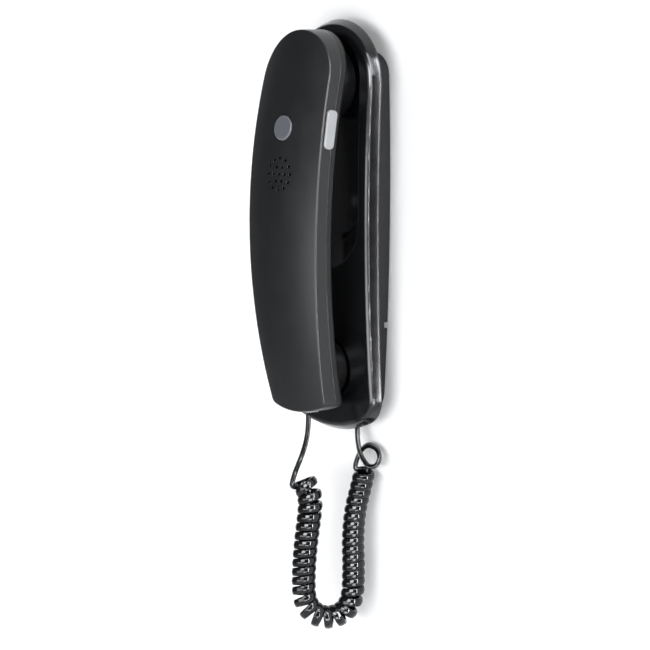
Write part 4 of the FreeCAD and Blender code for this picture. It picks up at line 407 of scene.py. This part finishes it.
def coil_points():
    """The helix round the coil's axis, as points, with the axis direction beside each."""
    route = [hanging(HANDSET_EXIT, *point) for point in COIL_AXIS]
    axis = smooth_line("coil_axis", route, AXIS_RESOLUTION)
    travelled = distances(axis)
    total = travelled[-1]

    def on_axis(distance):
        i = 0
        while i < len(axis) - 2 and travelled[i + 1] < distance:
            i += 1
        share = (distance - travelled[i]) / (travelled[i + 1] - travelled[i])
        return axis[i].lerp(axis[i + 1], share), (axis[i + 1] - axis[i]).normalized()

    def pitch(distance):
        height = on_axis(distance)[0].z
        leg = LEFT_PITCH + (FIRST_PITCH - LEFT_PITCH) * max(0, 1 - distance / FIRST_TURNS)
        if distance > total / 2:
            leg = RIGHT_PITCH
        share = min(1, max(0, (BEND_START + PITCH_BLEND - height) / PITCH_BLEND))
        return leg + (BEND_PITCH - leg) * share

    step = total / PITCH_STEPS
    turned = [0.0]
    for i in range(PITCH_STEPS):
        turned.append(turned[-1] + step / pitch((i + 0.5) * step))
    first_angle = math.pi + math.atan2(ENTRY, LEFT_RADIUS)
    last_angle = -math.pi / 2
    whole = round(turned[-1] - (last_angle - first_angle) / (2 * math.pi))
    sweep = last_angle - first_angle + 2 * math.pi * whole
    count = round(STEPS_PER_TURN * sweep / (2 * math.pi))
    found = []
    j = 0
    for i in range(count + 1):
        goal = turned[-1] * i / count
        while j < len(turned) - 2 and turned[j + 1] < goal:
            j += 1
        distance = step * (j + (goal - turned[j]) / (turned[j + 1] - turned[j]))
        middle, way = on_axis(distance)
        normal = ASIDE.cross(way).normalized()
        radius = LEFT_RADIUS + (RIGHT_RADIUS - LEFT_RADIUS) * distance / total
        angle = first_angle + sweep * i / count
        outward = normal * math.cos(angle) - normal.cross(way) * math.sin(angle)
        found.append((middle + outward * radius, way))
    return found


def curly_cord():
    """The cord's middle line, its control points and the way its width faces at each of these."""
    helix = coil_points()
    first, second = helix[0][0], helix[1][0]
    last, before = helix[-1][0], helix[-2][0]
    flat = ((second - first) * LEVEL).normalized()
    inward = hanging(Vector(), *INLET_WAY).normalized()
    outward = hanging(Vector(), *OUTLET_WAY).normalized()
    corner = first - flat * ENTRY
    inlet = corner - inward * (ENTRY + END_RUN)
    flat = ((last - before) * LEVEL).normalized()
    far_corner = last + flat * EXIT
    outlet = far_corner + outward * (EXIT + END_RUN)
    handset_lead = [hanging(HANDSET_EXIT, *point) for point in HANDSET_LEAD] + [inlet, corner]
    base_lead = [BASE_EXIT + Vector((right, -out, height)) * MM for right, out, height in BASE_LEAD]
    base_lead += [outlet, far_corner]
    controls = handset_lead + [point for point, way in helix] + base_lead[::-1]
    facing = [LEAD_FACING] * len(handset_lead) + [way for point, way in helix]
    facing += [LEAD_FACING] * len(base_lead)
    line = smooth_line("cord_route", controls, ROUTE_RESOLUTION)
    return line, controls, facing


SECTION_POINTS = 44
RIDGES, RIDGE_DEPTH, RIDGE_SPREAD = 2, 0.09, 0.3
WIDE_POWER, THICK_POWER = 0.8, 0.75
TURN_SHARE = 0.3


def ribbed_section():
    """A flat cord's outline, as lengths across its width and thickness, with ridges on each face."""
    outline = []
    for i in range(SECTION_POINTS):
        angle = 2 * math.pi * i / SECTION_POINTS
        across, up = math.cos(angle), math.sin(angle)
        wide = math.copysign(abs(across) ** WIDE_POWER, across)
        thick = math.copysign(abs(up) ** THICK_POWER, up)
        groove = 0.5 - 0.5 * math.cos(math.pi * RIDGES * (wide + 1))
        thick *= 1 - RIDGE_DEPTH * groove * abs(up) ** RIDGE_SPREAD
        outline.append((wide * CORD_WIDTH / 2, thick * CORD_THICKNESS / 2))
    return outline


def sweep_cord(name, line, controls, facing):
    """The section swept along the line, turned step by step towards the way it faces."""
    travelled = distances(line)
    shares = distances(controls)
    section = ribbed_section()
    verts, faces = [], []
    j = 0
    total, control_total = travelled[-1], shares[-1]
    for i, point in enumerate(line):
        tangent = (line[min(i + 1, len(line) - 1)] - line[max(i - 1, 0)]).normalized()
        goal = travelled[i] / total * control_total
        while j < len(shares) - 2 and shares[j + 1] < goal:
            j += 1
        share = (goal - shares[j]) / (shares[j + 1] - shares[j])
        wide = facing[j].lerp(facing[j + 1], share)
        if i:
            wide = previous.lerp(wide, TURN_SHARE)
        wide = (wide - tangent * wide.dot(tangent)).normalized()
        previous = wide
        thick = tangent.cross(wide)
        verts += [point + wide * across + thick * up for across, up in section]
    count = len(section)
    for i in range(len(line) - 1):
        for k in range(count):
            a, b = i * count + k, i * count + (k + 1) % count
            faces.append((a, b, b + count, a + count))
    faces.append(tuple(range(count))[::-1])
    faces.append(tuple(range(len(verts) - count, len(verts))))
    mesh = bpy.data.meshes.new(name)
    mesh.from_pydata(verts, [], faces)
    mesh.shade_smooth()
    thing = bpy.data.objects.new(name, mesh)
    bpy.context.scene.collection.objects.link(thing)
    return thing


line, controls, facing = curly_cord()
cord = sweep_cord("curly_cord", line, controls, facing)
cord.data.materials.append(materials["cord_black"])
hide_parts("cord_handset_lead", "cord_coil", "cord_base_lead")
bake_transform(cord)


# Wall, floor and light. The wall and floor show from the room's side only. To the camera and in
# reflections they are a little brighter than the lamps make them, which leaves their shadows.

STAGE_HALF = 3.0
STAGE_CORNERS = ((-1, -1), (1, -1), (1, 1), (-1, 1))
STAGE_TONE_SIZE = 400.0
WALL_GAP = 0.5 * MM
FLOOR_DROP = 1.2
WALL_GLOW, FLOOR_GLOW = 0.2, 0.1
WORLD_COLOUR, WORLD_STRENGTH = (0.92, 0.95, 1, 1), 0.1


def stage_plane(name, centre, normal, glow):
    across = Vector((1, 0, 0)) * STAGE_HALF
    upward = normal.cross(across)
    mesh = bpy.data.meshes.new(name)
    mesh.from_pydata([centre + across * x + upward * y for x, y in STAGE_CORNERS], [], [(0, 1, 2, 3)])
    thing = bpy.data.objects.new(name, mesh)
    bpy.context.scene.collection.objects.link(thing)
    nodes = Nodes(name)
    nodes.mix(nodes.noise(STAGE_TONE_SIZE), (0.87, 0.87, 0.875), (0.89, 0.89, 0.893))
    nodes.preset(Roughness=0.9, Specular_IOR_Level=0.1, Emission_Color=(1, 1, 1, 1))
    rays = nodes.add("LightPath").outputs
    reflected = nodes.math("ADD", rays["Is Glossy Ray"], rays["Is Transmission Ray"])
    seen = nodes.math("MINIMUM", nodes.math("ADD", rays["Is Camera Ray"], reflected), 1)
    nodes.join(nodes.math("MULTIPLY", seen, glow), nodes.shader.inputs["Emission Strength"])
    clear = nodes.add("BsdfTransparent")
    mix = nodes.add("MixShader")
    output = nodes.tree.nodes["Material Output"]
    nodes.join(nodes.add("NewGeometry").outputs["Backfacing"], mix.inputs["Fac"])
    nodes.join(nodes.shader.outputs["BSDF"], mix.inputs[1])
    nodes.join(clear.outputs["BSDF"], mix.inputs[2])
    nodes.join(mix.outputs["Shader"], output.inputs["Surface"])
    mesh.materials.append(nodes.material)


stage_plane("wall", Vector((0, WALL_GAP, 0)), Vector((0, -1, 0)), WALL_GLOW)
stage_plane("floor", Vector((0, 0, -FLOOR_DROP)), UPWARD, FLOOR_GLOW)


def panel(name, azimuth, distance, low, high, width, radiance, colour, lights, mirrored):
    """An upright lamp at an azimuth, between two heights, that faces the phone."""
    height = high - low
    lamp = bpy.data.objects.new(name, bpy.data.lights.new(name, "AREA"))
    lamp.data.shape = "RECTANGLE"
    lamp.data.size = width
    lamp.data.size_y = height
    lamp.data.energy = radiance * math.pi * width * height
    lamp.data.color = colour
    turn = math.radians(azimuth)
    lamp.location = (math.sin(turn) * distance, -math.cos(turn) * distance, (low + high) / 2)
    inward = Vector((-math.sin(turn), math.cos(turn), 0))
    lamp.rotation_euler = inward.to_track_quat("-Z", "Y").to_euler()
    lamp.visible_diffuse = lights
    lamp.visible_glossy = mirrored
    bpy.context.scene.collection.objects.link(lamp)


WHITE, COOL, SKY, LILAC = (1, 1, 1), (0.97, 0.99, 1), (0.95, 0.97, 1), (0.95, 0.94, 1)

# Name, azimuth, distance, low and high end, width, radiance, colour, whether it lights, whether it is
# mirrored. The windows and the strip only show as highlights.
for lamp in (
    ("key", -38, 2.0, 0.1, 1.1, 1.0, 3.9, WHITE, True, False),
    ("front_low", 8, 2.0, -0.85, -0.24, 2.05, 6.0, COOL, True, True),
    ("front_mid", 8, 2.0, -0.24, -0.09, 2.05, 3.4, COOL, True, True),
    ("front_high", 8, 2.0, -0.09, 0.08, 2.05, 6.0, COOL, True, True),
    ("high_window", 30, 2.0, 0.3, 1.2, 1.2, 18.0, SKY, False, True),
    ("side", 66, 1.8, -0.6, 0.5, 0.9, 1.4, WHITE, True, False),
    ("strip", 88, 2.0, -0.9, 2.0, 0.09, 80.0, LILAC, False, True),
    ("upper_window", 65, 1.6, 0.7, 2.4, 0.75, 10.0, SKY, False, True),
    ("lower_window", 58, 1.8, -2.4, -0.6, 1.0, 13.0, SKY, False, True),
):
    panel(*lamp)

world = bpy.data.worlds.new("world")
bpy.context.scene.world = world
world.use_nodes = True
background = world.node_tree.nodes["Background"]
background.inputs["Color"].default_value = WORLD_COLOUR
background.inputs["Strength"].default_value = WORLD_STRENGTH
